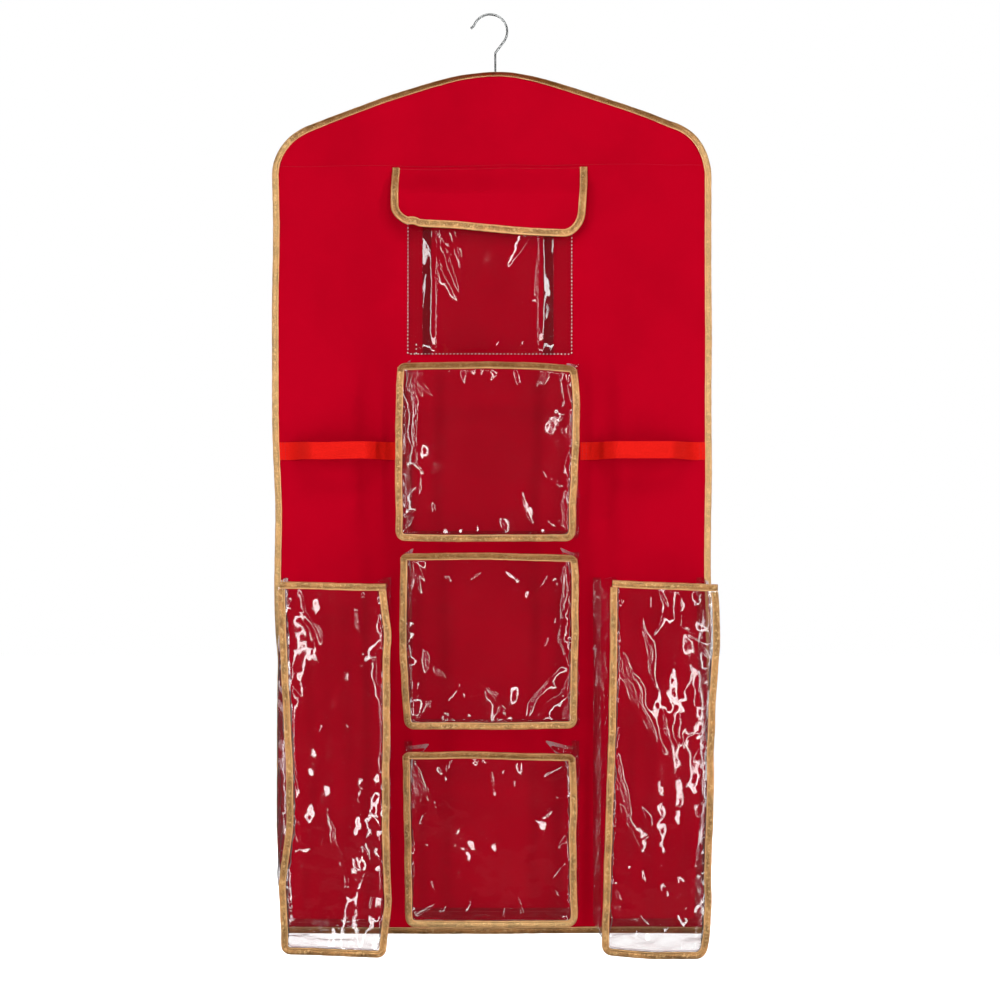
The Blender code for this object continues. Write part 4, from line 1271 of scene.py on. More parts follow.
POCKETS = [
    Pocket(
        "box_pocket_1",
        101,
        ((0, -8), (0.13, -9), (0.5, -8.6), (0.87, -7.3), (1, -5)),
        ((0, -8.6), (0.28, -7.1), (0.57, -3.5), (0.79, -2), (0.9, -4), (1, -7.5)),
        ((0, -2), (0.5, -3), (1, -2)),
        ((0, -3), (0.5, -0.3), (0.8, -3), (1, -6)),
        False,
        (
            (9, 97, 10, 45, 2.6, 3), (3, 98, 26, 74, 2.2, 5), (12, 90, 16, 80, 1.8, 7),
            (66, 99, 67, 86, 1.6, 2.6), (81, 99, 80, 86, 1.4, 2.4), (20, 95.5, 85, 95, 0.9, 2.4),
            (97, 70, 90, 63, 1.2, 2), (90, 63, 97, 56, 1.2, 2), (97, 53, 92, 44, 1, 2),
            (90, 10, 98, 30, 1.6, 3), (98, 30, 93, 36, 1.2, 2.6), (4, 6, 12, 16, 1.8, 3),
            (99, 3, 86, 12, 1.8, 3), (30, 2, 33, 10, 1, 3), (62, 3, 60, 13, 1.2, 3),
        ),
        (0.75, 0.25),
        ((0.008, 0.008), (0.006, 0.006)),
    ),
    Pocket(
        "box_pocket_2",
        202,
        ((0, 4), (0.12, 1.9), (0.37, -2.3), (0.8, -2.7), (1, -1.5)),
        ((0, -7), (0.1, -6.6), (0.37, -5.6), (0.66, -4.5), (0.91, -3.8), (1, -7)),
        ((0, 6.4), (0.5, 5.4), (1, 7.8)),
        ((0, 2.4), (0.5, 3.9), (1, 0.4)),
        False,
        (
            (94, 98, 90, 62, 2.6, 3.2), (90, 62, 93, 40, 1.6, 3), (5, 96, 95, 93, 1.1, 3),
            (20, 90, 80, 87, 0.8, 5), (97, 32, 75, 8, 2.4, 4.5), (90, 34, 68, 4, 2, 3.4),
            (3, 80, 7, 70, 1.8, 3), (14, 45, 16, 32, 1.8, 3), (21, 34, 23, 28, 1.8, 3),
            (4, 25, 14, 13, 1.9, 3), (5, 8, 15, 3, 1.6, 3.4), (45, 25, 55, 20, 1.9, 4),
            (97, 22, 93, 5, 1.8, 3), (48, 20, 58, 15, 1.5, 3),
        ),
        (0.6, 0.05),
        ((0.010, 0.010), (0.012, 0.016)),
    ),
    Pocket(
        "box_pocket_3",
        303,
        ((0, 6), (0.06, 5.3), (0.46, 3.6), (0.74, 2.6), (1, 1)),
        ((0, -8), (0.08, -5.2), (0.3, -7.3), (0.74, -6.6), (1, -9)),
        ((0, 2.3), (0.5, 0.5), (1, 1.3)),
        ((0, -4), (0.4, -2.6), (1, -6)),
        False,
        (
            (3, 97, 7, 72, 2.6, 3.4), (7, 72, 5, 62, 1.6, 3), (98, 92, 84, 86, 2.2, 4.5),
            (6, 97, 22, 60, 1.6, 5), (4, 4, 20, 16, 1.5, 3.4), (96, 3, 80, 10, 1.6, 3.4),
            (10, 93, 95, 95, 0.8, 4), (12, 66, 8, 52, 1.4, 3), (95, 55, 90, 44, 1.6, 3),
            (5, 11, 60, 5, 0.8, 4), (55, 3, 85, 13, 0.8, 4),
        ),
        (0.6, -0.35),
        ((0.010, 0.028), (0.016, 0.034)),
    ),
    Pocket(
        "roll_pocket_left",
        404,
        (
            (0, 11), (0.05, 10.5), (0.135, 9.2), (0.2, 9.6), (0.25, 13.5), (0.34, 20), (0.42, 19.6), (0.55, 17.4),
            (0.73, 11.6), (0.855, 9.4), (0.96, 7.7), (1, 8),
        ),
        ((0, 5), (0.04, 5.7), (0.14, 12.2), (0.31, 9.5), (0.78, 10.2), (0.87, 13), (0.93, 8), (1, 3.3)),
        ((0, 2.5), (0.5, -0.2), (1, -1.9)),
        ((0, 0), (1, -2.2)),
        True,
        (
            (28, 91, 40, 85, 1.8, 3), (22, 89, 32, 83, 1.6, 3), (93, 90, 88, 80, 1.8, 4),
            (88, 80, 95, 62, 1.4, 3), (42, 36, 62, 22, 1.6, 2.8), (62, 22, 66, 16, 1.2, 2.6),
            (5, 62, 10, 45, 1.4, 3), (6, 40, 16, 30, 1.6, 3), (92, 5, 98, 16, 1.6, 3), (6, 4, 12, 12, 1.4, 3),
        ),
        (0.12, 0.0),
        ((0.007, 0.005), (0.007, 0.005)),
        0.0065,
    ),
    Pocket(
        "roll_pocket_right",
        505,
        ((0, 1), (0.24, 4.8), (0.45, 8.3), (0.72, 12.3), (1, 13)),
        ((0, -7), (0.07, -0.3), (0.17, 1.5), (0.38, 3.2), (0.58, 4.2), (0.72, 7.6), (0.82, 12), (0.9, 13.7), (1, 10)),
        ((0, 1.5), (0.5, -4.3), (1, -3.5)),
        ((0, 2.9), (0.5, -0.8), (1, -3.2)),
        True,
        (
            (3, 80, 40, 60, 2.6, 3.6), (12, 80, 50, 54, 2.4, 3), (30, 90, 40, 72, 2, 3.4),
            (96, 83, 62, 90, 2.2, 3.4), (93, 78, 80, 68, 2.2, 3.4), (62, 98, 66, 90, 1.8, 4.5),
            (3, 56, 22, 38, 1.8, 3), (5, 47, 32, 30, 1.8, 3.2), (30, 42, 38, 34, 1.4, 3),
            (93, 36, 86, 22, 2, 3), (86, 22, 80, 12, 1.4, 3), (3, 22, 14, 12, 1.6, 3),
            (50, 66, 60, 58, 1.8, 3), (95, 8, 88, 3, 1.5, 3), (66, 64, 70, 58, 1.4, 3),
        ),
        (0.12, 0.0),
        ((0.007, 0.005), (0.007, 0.005)),
        0.004,
    ),
]

# %% [markdown]
# ## The front sheets
#
# Vinyl keeps every crease that was pressed into it. A crease is a sharp low ridge along a line,
# and where the sheet is sewn it puckers in short waves that die out within a thumb's width. Both
# are added to the sheet's depth, so the highlights come from real slopes.

# %% Creases and puckers
GRID = 0.0014
PUCKER_REACH = 0.012
CREASE_BEND = 0.004
SLACK_DEPTH, FINE_DEPTH = 0.0016, 0.00022
SIDE_PUCKER, FOOT_PUCKER, MOUTH_PUCKER = 0.0009, 0.0005, 0.0006
CREASES_PER_METRE = 420
DIMPLES_PER_METRE = 18
CALM = 0.5
MIDDLE_CALM = 0.75


def ridges(x, z, lines):
    """The height of sharp ridges along lines of two ends, a height and a width, all in metres."""
    total = np.zeros(np.broadcast(x, z).shape)
    for x0, z0, x1, z1, height, width in lines:
        dx, dz = x1 - x0, z1 - z0
        share = np.clip(((x - x0) * dx + (z - z0) * dz) / (dx * dx + dz * dz), 0, 1)
        away = np.hypot(x - x0 - share * dx, z - z0 - share * dz)
        total += height * (0.35 + 0.65 * np.sin(math.pi * share)) * np.exp(-away / width)
    return total


def crushed(x, z, low, high, seed, count, dimples):
    """Many small creases and dimples, more of them near the edges of a sheet."""
    draw = np.random.default_rng(seed)
    low, high = np.array(low), np.array(high)
    total = np.zeros(np.broadcast(x, z).shape)
    for kind in range(count + dimples):
        place = low + (high - low) * draw.beta(0.55, 0.55, 2)
        toward = (low + high) / 2 - place
        turn = math.atan2(toward[1], toward[0]) + draw.normal(0, 0.7)
        if kind < count:
            length = draw.uniform(0.008, 0.04)
            end = place + length * np.array([math.cos(turn), math.sin(turn)])
            height, width = draw.uniform(0.0005, 0.0014), draw.uniform(0.001, 0.002)
            total += ridges(x, z, [(*place, *end, height * draw.choice((-0.6, 1)), width)])
        else:
            size = draw.uniform(0.004, 0.011)
            u = (x - place[0]) * math.cos(turn) + (z - place[1]) * math.sin(turn)
            v = (z - place[1]) * math.cos(turn) - (x - place[0]) * math.sin(turn)
            swell = np.exp(-((u / (size * 1.8)) ** 2) - (v / size) ** 2)
            total += size * draw.uniform(0.1, 0.22) * draw.choice((-1, 1)) * swell
    return total


def crease_lines(creases, left, bottom, wide, high):
    """Creases in metres, from hundredths of a sheet's width and height and from millimetres."""
    return [
        (
            left + x0 / 100 * wide, bottom + z0 / 100 * high, left + x1 / 100 * wide, bottom + z1 / 100 * high,
            height * MM, width * MM,
        )
        for x0, z0, x1, z1, height, width in creases
    ]


def front_relief(pocket, x, z):
    """How far a front sheet stands in front of or behind its plane."""
    lengths = ((11, 0.05), (12, 0.05), (13, 0.12), (14, 0.03))
    bend_x, bend_z, slack, fine = [ripple(pocket.seed + k, length) for k, length in lengths]
    u = x + CREASE_BEND * bend_x(x, z)
    v = z + CREASE_BEND * bend_z(x, z)
    left, bottom, wide, high = pocket.left, pocket.bottom, pocket.width, pocket.height
    lines = crease_lines(pocket.creases, left, bottom, wide, high)
    heart = (1 - (2 * (u - left) / wide - 1) ** 2) * (1 - (2 * (v - bottom) / high - 1) ** 2)
    calm = 1 - MIDDLE_CALM * soft_step(heart, 0.25, 0.9)
    relief = SLACK_DEPTH * slack(x, z) * calm + FINE_DEPTH * fine(x, z) - ridges(u, v, lines)
    edge = pocket.width + pocket.height
    share = CALM if pocket.square_mouth else 1.0
    count, dimples = (int(share * per_metre * edge / 4) for per_metre in (CREASES_PER_METRE, DIMPLES_PER_METRE))
    corner, far = (left + TAPE_LEG, bottom + TAPE_LEG), (pocket.right - TAPE_LEG, pocket.top - TAPE_LEG)
    relief -= crushed(u, v, corner, far, pocket.seed + 16, count, dimples) * calm
    to_side = np.minimum(x - pocket.left, pocket.right - x) - TAPE_LEG
    to_foot = z - pocket.bottom - TAPE_LEG
    to_mouth = pocket.top - z - TAPE_LEG
    short = ripple(pocket.seed + 15, 0.02, 5)
    for depth, away, waves in (
        (SIDE_PUCKER, to_side, short(x * 0.25, z)),
        (FOOT_PUCKER, to_foot, short(x, z * 0.25 + 0.3)),
        (MOUTH_PUCKER, to_mouth, short(x + 0.7, z * 0.25)),
    ):
        relief += depth * np.exp(-np.maximum(away, 0) / PUCKER_REACH) * waves
    inside = np.minimum(np.minimum(to_side, to_foot), to_mouth)
    return relief * soft_step(inside, -0.001, 0.005)


def pocket_front(pocket):
    low, high = pocket.bottom + EDGE, pocket.top - EDGE
    z = np.linspace(low, high, int((high - low) / GRID))[:, None]
    share = np.linspace(-1, 1, int(pocket.width / GRID))
    middle = (pocket.left + pocket.right) / 2
    x = middle + pocket.half_front(z, EDGE) * share
    z = np.broadcast_to(z, x.shape)
    points = pocket.settle(points_at(x, -pocket.depth, z))
    points[..., 1] += front_relief(pocket, x, z)
    made = sewn_sheet(f"{pocket.name}_front_sheet", points, VINYL, "clear_vinyl", f"{pocket.name}_front")
    size = (pocket.width - 2 * EDGE, high - low)
    0.99 * size[0] * size[1]


for pocket in POCKETS:
    pocket_front(pocket)

# %% [markdown]
# ## The wall strips
#
# One strip of vinyl makes a pocket's two sides and its bottom. It is sewn to the front inside the
# tape, crosses to the panel and ends in a flange that is sewn down. A strip bent round a corner
# crumples there, and its upper ends, which nothing binds, curl up behind the mouth.

# %% Wall strips
WALL_RAILS = 22
FOLD_PEEP = 0.0022
FOLD_WOBBLE = 0.0012
CRUMPLE, FINE_CRUMPLE, CORNER_CRUSH = 0.0022, 0.0005, 0.0012
CORNER_REACH = 0.03
EAR_REACH = 0.018
EAR_CROWN = 0.7
EAR_HIGHLIGHT = 0.55


def wall_strip(pocket):
    fold_y = -pocket.depth + VINYL + CLEARANCE
    back_y = -(CLEARANCE + VINYL / 2)
    mouth = pocket.top - TAPE_LEG * 0.6
    back = (pocket.back_left, pocket.back_right, pocket.back_bottom)
    rails = [pocket.u_path(EDGE, fold_y, mouth, FRONT_RADIUS - EDGE), pocket.u_path(FIN * 0.6, fold_y, mouth, 0.007)]
    front_rail = pocket.u_path(FIN, fold_y, mouth, WALL_RADIUS)
    back_rail = pocket.u_path(0, back_y, pocket.back_top, WALL_RADIUS, back)
    for share in np.linspace(0, 1, WALL_RAILS):
        rails.append(front_rail + (back_rail - front_rail) * share)
    for inset in (FLANGE * 0.5, FLANGE):
        rails.append(pocket.u_path(inset, back_y, pocket.back_top, 0.002, back))
    full_length = path_length(rails[0], 0)[-1]
    count = int(full_length / TAPE_STEP)
    grid = np.stack([even_count(rail, count) for rail in rails])
    lines = grid[2:5]
    centre = np.array([(pocket.left + pocket.right) / 2, 0, 0])
    toward = np.sign(centre[0] - lines[..., 0]) * np.clip((lines[..., 2] - pocket.bottom - FIN * 1.5) / 0.02, 0, 1)
    wave = ripple(pocket.seed + 24, 0.022, 4)(lines[..., 0] * 0.2, lines[..., 2])
    lines[..., 0] += toward * (FOLD_PEEP + FOLD_WOBBLE * wave)
    across = np.concatenate([[0, 0], np.linspace(0, 1, WALL_RAILS), [1, 1]])[:, None]
    along = np.broadcast_to(np.linspace(0, 1, count), grid.shape[:2])
    middle = np.sin(math.pi * across)
    settled = pocket.settle(grid)
    normal = grid_normals(settled)
    x, z = grid[..., 0], grid[..., 2]
    strip = path_length(grid[3], 0)[None, :] * np.ones_like(across)
    depth_place = across * pocket.depth
    crumple = ripple(pocket.seed + 21, 0.05)(strip, depth_place) * CRUMPLE
    fine = ripple(pocket.seed + 22, 0.018)(strip, depth_place) * FINE_CRUMPLE
    corner = bell(strip, pocket.height, CORNER_REACH) + bell(strip - pocket.height, pocket.width, CORNER_REACH)
    crush = ripple(pocket.seed + 23, 0.012)(strip, depth_place) * CORNER_CRUSH * corner
    settled += normal * ((crumple + fine + crush) * middle)[..., None]
    up = (z - pocket.bottom) / pocket.height
    outer = bell(x, pocket.outer_x, CORNER_REACH) * soft_step(up, 0.02, 0.2) * (1 - soft_step(up, 0.7, 0.95))
    settled[..., 0] += pocket.bulge * np.sign(pocket.outer_x) * outer * middle
    end = np.exp(-np.minimum(along, 1 - along) * full_length / EAR_REACH)
    bow = bell(across, 0.3, 0.24) * soft_step(across, 0, 0.12) * (1 - across)
    (left_up, left_in), (right_up, right_in) = pocket.ears
    settled[..., 2] += np.where(along < 0.5, left_up, right_up) * end * bow / EAR_CROWN
    settled[..., 0] += np.where(along < 0.5, left_in, -right_in) * end * bow / EAR_CROWN
    # On the box pockets the curled ends of the wall get a painted highlight.
    looks = {"folds": (2,), "end_white": 0 if pocket.square_mouth else EAR_HIGHLIGHT * np.clip(bow[1:] / EAR_CROWN, 0, 1)}
    made = sewn_sheet(f"{pocket.name}_wall_strip", settled, VINYL, "clear_vinyl", f"{pocket.name}_gusset", **looks)
    size = (pocket.depth + FIN + FLANGE, 2 * pocket.height + pocket.width)
    0.97 * size[0] * size[1]
    thread_y = back_y - VINYL / 2 - THREAD_LIFT
    sew_line("red_thread", pocket.u_path(FLANGE * 0.55, thread_y, pocket.back_top - 0.004, 0.004, back))


for pocket in POCKETS:
    wall_strip(pocket)

# %% [markdown]
# ## The pockets' tapes
#
# One tape runs down, under and up round the seam of front and wall. A second one is folded over
# the mouth. On the box pockets its ends turn down over the sides, and on the tall pockets they are
# cut square.

# %% Pocket tapes
SEAM_GAP = VINYL + CLEARANCE * 1.5
MOUTH_GAP = SEAM_GAP + TAPE
MOUTH_TURN = 0.011
MOUTH_INSET = 0.003


def pocket_tapes(pocket):
    centre_y = -pocket.depth + (VINYL + CLEARANCE) / 2
    side_top = pocket.top - (TAPE_LEG + CLEARANCE if pocket.square_mouth else MOUTH_RADIUS * 0.6)
    if pocket.square_mouth:
        mouth = np.array([(pocket.right, pocket.top), (pocket.left + MOUTH_INSET, pocket.top)])
    else:
        r, half = MOUTH_RADIUS, math.pi / 2
        mouth = np.concatenate(
            [
                [[pocket.right, pocket.top - MOUTH_TURN]],
                arc(pocket.right - r, pocket.top - r, r, 0, half, 6),
                arc(pocket.left + r, pocket.top - r, r, half, 2 * half, 6),
                [[pocket.left, pocket.top - MOUTH_TURN]],
            ]
        )

    # Painted shade or light on the tapes: on the side tape it fades out above the foot, on the mouth's tape it is
    # even.
    def side_shade(place):
        return pocket.foot_shade * (1 - soft_step(place[:, 2] - pocket.bottom, 0.008, 0.03))

    def mouth_shade(place):
        return np.full(len(place), pocket.mouth_shade)

    for piece, node, line, gap, seed, shade in (
        ("side_tape", "edge_tape", pocket.u_path(0, centre_y, side_top, FRONT_RADIUS), SEAM_GAP, 0.1, side_shade),
        ("lip_tape", "mouth_tape", points_at(mouth[:, 0], centre_y, mouth[:, 1]), MOUTH_GAP, 0.2, mouth_shade),
    ):
        line = pocket.settle(evenly(line, TAPE_STEP))
        made = folded_tape(f"{pocket.name}_{piece}", line, BACKWARD, TAPE_LEG, gap, shade, pocket.seed * seed)
        sew_on(made, "organizer", "gold_tape", f"{pocket.name}_{node}")
    inset = TAPE_LEG - STITCH_INSET
    side_y, mouth_y = (centre_y - gap - TAPE - THREAD_LIFT for gap in (SEAM_GAP, MOUTH_GAP))
    sides = pocket.u_path(inset, side_y, pocket.top - TAPE_LEG, FRONT_RADIUS - inset)
    sew_line("gold_thread", sides, pocket.settle)
    ends = (pocket.right - MOUTH_INSET, pocket.left + MOUTH_INSET)
    sew_line("gold_thread", [(x, mouth_y, pocket.top - inset) for x in ends], pocket.settle)


for pocket in POCKETS:
    pocket_tapes(pocket)

# %% [markdown]
# ## The pleated pocket
#
# The pocket under the flap is one flat sheet with a pleat pressed down each side, so it can open
# as it fills. Its section is a zigzag that stands off at the mouth and lies flat at the sewn foot.
# Each height has its own section, and creases cross the front from the pleats inward.

# %% The pleated pocket
PLEAT_LOW, PLEAT_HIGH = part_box("pleated_pocket")
PLEATS = ((0.022, 0.034), (0.027, 0.041))
PLEAT_SHOULDER = 0.007
PLEAT_SHIFT = 0.003
PLEAT_LAYER = 0.0011
PLEAT_OPENS = 0.05
PLEAT_DROP = 0.0068
PLEAT_EDGE_HIGHLIGHT = 0.05
PLEAT_SEAM = 0.0013
PLEAT_ROWS = 90
PLEAT_SLACK, PLEAT_FINE = 0.0012, 0.0002
PLEAT_STEPS = (16, 2, 8, 2, 8, 6, 34)
PLEAT_CREASES = (
    (14, 98, 34, 35, 2.2, 4), (10, 75, 30, 36, 2, 4), (85, 88, 62, 55, 2.6, 6), (80, 60, 78, 35, 2, 3),
    (84, 40, 64, 28, 1.8, 3), (28, 85, 34, 50, 1.8, 4), (86, 12, 95, 25, 1.5, 3), (8, 12, 12, 50, 1.4, 3),
    (50, 3, 56, 10, 1.2, 3), (66, 3, 70, 10, 1.2, 3), (90, 90, 86, 60, 1.2, 3), (15, 4, 30, 12, 1.2, 4),
)


def pleated_pocket():
    half = (PLEAT_HIGH.x - PLEAT_LOW.x) / 2
    sewn = -(CLEARANCE + VINYL / 2)
    depth = -PLEAT_LOW.y - VINYL / 2
    fold = sewn - 2 * PLEAT_LAYER
    shapes = []
    for outer, inner in PLEATS:
        flat = np.array(
            [
                (half, sewn), (half - inner, sewn), (half - inner, sewn - PLEAT_LAYER),
                (half - outer, sewn - PLEAT_LAYER), (half - outer, fold), (half - inner, fold),
                (half - inner - PLEAT_SHOULDER, fold), (0, fold),
            ]
        )
        full = flat.copy()
        full[5, 1] = (fold - depth) / 2
        full[6:, 1] = -depth
        shapes.append((flat, full))
    bottom, top = PLEAT_LOW.z - PLEAT_DROP, PLEAT_HIGH.z
    z = np.linspace(bottom, top, PLEAT_ROWS)
    opened = np.sin(np.clip((z - bottom) / PLEAT_OPENS, 0, 1) * math.pi / 2)
    rows = []
    for share in opened:
        left, right = (even_knots(flat + (full - flat) * share, PLEAT_STEPS) for flat, full in shapes)
        rows.append(np.concatenate([(left * (-1, 1))[:-1], right[::-1]]))
    section = np.array(rows)
    x = section[..., 0] + (PLEAT_LOW.x + PLEAT_HIGH.x) / 2 - PLEAT_SHIFT
    height = np.broadcast_to(z[:, None], x.shape)
    lines = crease_lines(PLEAT_CREASES, -half, bottom, 2 * half, top - bottom)
    slack, fine = ripple(61, 0.07), ripple(62, 0.02)
    middle = (x.max() + x.min()) / 2
    relief = PLEAT_SLACK * slack(x, height) - ridges(x - middle, height, lines) + PLEAT_FINE * fine(x, height)
    at_front = np.clip(-(section[..., 1] - sewn) / (depth + sewn), 0, 1)
    from_edge = soft_step(half - np.abs(section[..., 0]), 0, 0.02)
    tape = bell(np.maximum(np.abs(x - middle) - 0.05, 0), 0, 0.01) * soft_step(height, top - 0.045, top - 0.025)
    relief *= (0.25 + 0.75 * at_front) * from_edge * soft_step(height, bottom, bottom + 0.012) * (1 - tape)
    y = np.minimum(section[..., 1] + relief, sewn)
    # A faint painted highlight on the pleated sheet's cut edges.
    looks = {"edge_white": PLEAT_EDGE_HIGHLIGHT}
    points = hang(points_at(x, y, height))
    made = sewn_sheet("pleated_pocket_sheet", points, VINYL, "clear_vinyl", "pleated_pocket", **looks)
    left, right = x.min() + PLEAT_SEAM, x.max() - PLEAT_SEAM
    foot, mouth = bottom + PLEAT_SEAM, top - 0.002
    round_it = ((left, mouth), (left, foot), (right, foot), (right, mouth))
    sew_line("clear_thread", [(x, sewn - VINYL, z) for x, z in round_it])
    sew_line("clear_thread", [(left + 0.012, fold - VINYL, bottom + up) for up in (0.002, 0.014)])


def even_knots(shape, counts):
    """Points along a zigzag, with this many steps on each of its legs."""
    pieces = []
    for start, end, count in zip(shape, shape[1:], counts):
        share = np.arange(count)[:, None] / count
        pieces.append(start + (end - start) * share)
    return np.concatenate([*pieces, shape[-1:]])


pleated_pocket()

# %% [markdown]
# ## The flap
#
# A cloth flap hangs over the pleated pocket from the cross seam. It is bound on three sides, its
# lower edge slants, and one corner curls forward. Near the seam it follows the panel's waves, which
# bends the cloth instead of tearing it.

# %% The flap
FLAP_LOW, FLAP_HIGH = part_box("flap")
TAPE_LOW, TAPE_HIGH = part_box("flap_edge_tape")
FLAP_MIDDLE = (TAPE_LOW.x + TAPE_HIGH.x) / 2
FLAP_HALF = (TAPE_HIGH.x - TAPE_LOW.x) / 2
FLAP_DROP = SEAM - TAPE_LOW.z
FLAP_RADIUS = 0.032
FLAP_CURVE = 0.042
FLAP_SEAM_Y = FLAP_HIGH.y - CLOTH / 2
FLAP_OUT = FLAP_LOW.y + CLOTH / 2 - FLAP_SEAM_Y
FLAP_SLANT = 0.0098
FLAP_SHIFT = -0.003
FLAP_LOWER = 0.002
FLAP_TUCK = 0.0042
FLAP_BULGE = 0.0014
FLAP_KINK = 0.0026
FLAP_SIDE_SHADE = 0.25
FLAP_WAVE = 0.0009
FLAP_RIPPLE = 0.0008
LEFT_CURL, RIGHT_CURL = 0.012, 0.005
FLAP_COLUMNS, FLAP_ROWS = 110, 60
flap_wave = ripple(71, 0.09)


def flap_place(across, drop):
    """A point of the flap from its place across and its drop below the seam."""
    share = np.clip(drop / FLAP_DROP, 0, 1.05)
    side = across / FLAP_HALF
    y = FLAP_SEAM_Y + FLAP_OUT * soft_step(drop, 0, FLAP_CURVE)
    y = y + FLAP_WAVE * flap_wave(across, drop) * share
    curl = soft_step(-side, 0.55, 1.05) * soft_step(share, 0.45, 1)
    right_curl = soft_step(side, 0.7, 1.05) * soft_step(share, 0.6, 1)
    y = y - LEFT_CURL * curl - RIGHT_CURL * right_curl
    z = SEAM - FLAP_LOWER - drop - FLAP_SLANT * side * share**2 - FLAP_RIPPLE * np.sin(side * 5) * share
    z = z + FLAP_KINK * bell(side, -0.78, 0.04) * share**2
    right, left = np.maximum(side, 0), np.maximum(-side, 0)
    x = FLAP_MIDDLE + across + FLAP_SHIFT - FLAP_TUCK * right * soft_step(share, 0.1, 0.95)
    x = x - FLAP_BULGE * left * np.sin(np.clip(share * 1.15, 0, 1) * math.pi)
    at_seam = 1 - soft_step(drop, 0.012, 0.05)
    return np.stack([x, y + panel_wave(x, z) * at_seam, z], -1)


def flap_half(drop, inset):
    radius = FLAP_RADIUS - inset
    below = np.clip(drop - (FLAP_DROP - FLAP_RADIUS), 0, radius)
    return FLAP_HALF - inset - radius + chord(radius, below)


def flap_line(inset, start, pitch):
    """Places across the flap and below the seam, along its three bound edges and this far in from them."""
    turn = math.pi / 2
    left = arc(-FLAP_HALF + FLAP_RADIUS, -FLAP_DROP + FLAP_RADIUS, FLAP_RADIUS - inset, 2 * turn, 3 * turn, 12)
    left = np.concatenate([[[-FLAP_HALF + inset, -start]], left])
    line = evenly(np.concatenate([left, left[::-1] * (-1, 1)]), pitch)
    return line[:, 0], -line[:, 1]


def flap_shade(place):
    """Painted shade down the flap's sides, and none along the middle of its hem."""
    return FLAP_SIDE_SHADE * soft_step(np.abs(place[:, 0] - FLAP_MIDDLE), FLAP_HALF - 0.03, FLAP_HALF - 0.01)


def flap_pieces():
    drop = np.linspace(0, FLAP_DROP - EDGE, FLAP_ROWS)[:, None]
    across = flap_half(drop, EDGE) * np.linspace(-1, 1, FLAP_COLUMNS)
    drop = np.broadcast_to(drop, across.shape)
    cloth = report(sheet_mesh("flap_cloth", flap_place(across, drop), CLOTH, "red_fabric"))
    across, drop = flap_line(0, 0.0002, TAPE_STEP * 0.7)
    down = flap_place(across, drop + MM) - flap_place(across, drop - MM)
    over = flap_place(across + MM, drop) - flap_place(across - MM, drop)
    facing = np.cross(over, down)
    facing /= np.linalg.norm(facing, axis=1, keepdims=True)
    facing *= np.sign(facing[:, 1:2])
    line = flap_place(across, drop)
    tape = folded_tape("flap_tape", line, facing, FLAP_TAPE_LEG, CLOTH / 2 + CLEARANCE, flap_shade, seed=7.7)
    line = flap_place(*flap_line(FLAP_TAPE_LEG - STITCH_INSET, 0.001, TAPE_STEP))
    thread_line = stitches("flap_stitches", [line - (0, CLOTH / 2 + CLEARANCE + TAPE, 0)], "gold_thread")
    start, end = (FLAP_MIDDLE, FLAP_SEAM_Y, SEAM), (FLAP_MIDDLE, FLAP_SEAM_Y, SEAM - 0.009)
    for made, slot in ((cloth, "red_fabric"), (tape, "gold_tape"), (thread_line, "gold_tape")):
        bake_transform(made)
        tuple(start)
        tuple(end)
    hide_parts("flap")
    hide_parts("flap_edge_tape")
    ends = (FLAP_MIDDLE - FLAP_HALF, FLAP_MIDDLE + FLAP_HALF - 0.005)
    sew_line("red_thread", [(x, FLAP_SEAM_Y - CLOTH, SEAM - FLAP_LOWER - 0.0014) for x in ends])


flap_pieces()

# %% [markdown]
# ## The elastic straps
#
# Each strap is a ribbed elastic band, sewn flat at both ends and standing off the panel between
# them to hold tall rolls. Its ribs run along it and are part of the mesh, and each end is sewn
# down with two rows.

# %% The straps
STRAP_FOOT = 0.011
RAMP_OUTER = 0.044
RAMP_INNER = 0.04
RIBS = 11
RIB_HEIGHT = 0.00022
STRAP_ROWS = (0.003, 0.008)
STRAP_NARROWS = 0.06
STRAP_SAG, STRAP_TWIST = 0.0006, 0.0008
STRAP_STEPS = 130
SIDES = ((-1, "left"), (1, "right"))


def elastic_strap(name, side):
    low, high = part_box(name)
    foot_y = high.y - ELASTIC / 2
    out = -low.y - ELASTIC / 2
    near, far = (high.x, low.x) if side < 0 else (low.x, high.x)
    length = abs(far - near)
    run = np.linspace(0, 1, STRAP_STEPS) * length
    rise = soft_step(run, STRAP_FOOT, STRAP_FOOT + RAMP_INNER)
    rise = rise * (1 - soft_step(run, length - STRAP_FOOT - RAMP_OUTER, length - STRAP_FOOT))
    x = near + side * run
    across = np.linspace(-0.5, 0.5, RIBS * 6 + 1)[:, None]
    sag = ripple(81 + side, 0.1)
    z = (low.z + high.z) / 2 + across * (high.z - low.z) * (1 - STRAP_NARROWS * rise)
    z = z + STRAP_SAG * sag(x, 0 * x) * rise
    x = np.broadcast_to(x, z.shape)
    y = foot_y - (out + foot_y) * rise + STRAP_TWIST * sag(x, z) * rise
    ribbed = RIB_HEIGHT * np.abs(np.sin(across * RIBS * math.pi))
    points = hang(points_at(x, y, z))
    points += grid_normals(points) * (ribbed * np.ones_like(z))[..., None] * np.sign(-side)
    made = sewn_sheet(f"{name}_band", points, ELASTIC, "red_elastic", name)
    path_length(points[30], 0)[-1]
    thread_y = foot_y - ELASTIC / 2 - RIB_HEIGHT
    for end, way in ((near, side), (far, -side)):
        for step in STRAP_ROWS:
            row = [(end + way * step, thread_y, z) for z in (low.z + 0.001, high.z - 0.001)]
            sew_line("red_thread", row)


for side, label in SIDES:
    elastic_strap(f"elastic_strap_{label}", side)

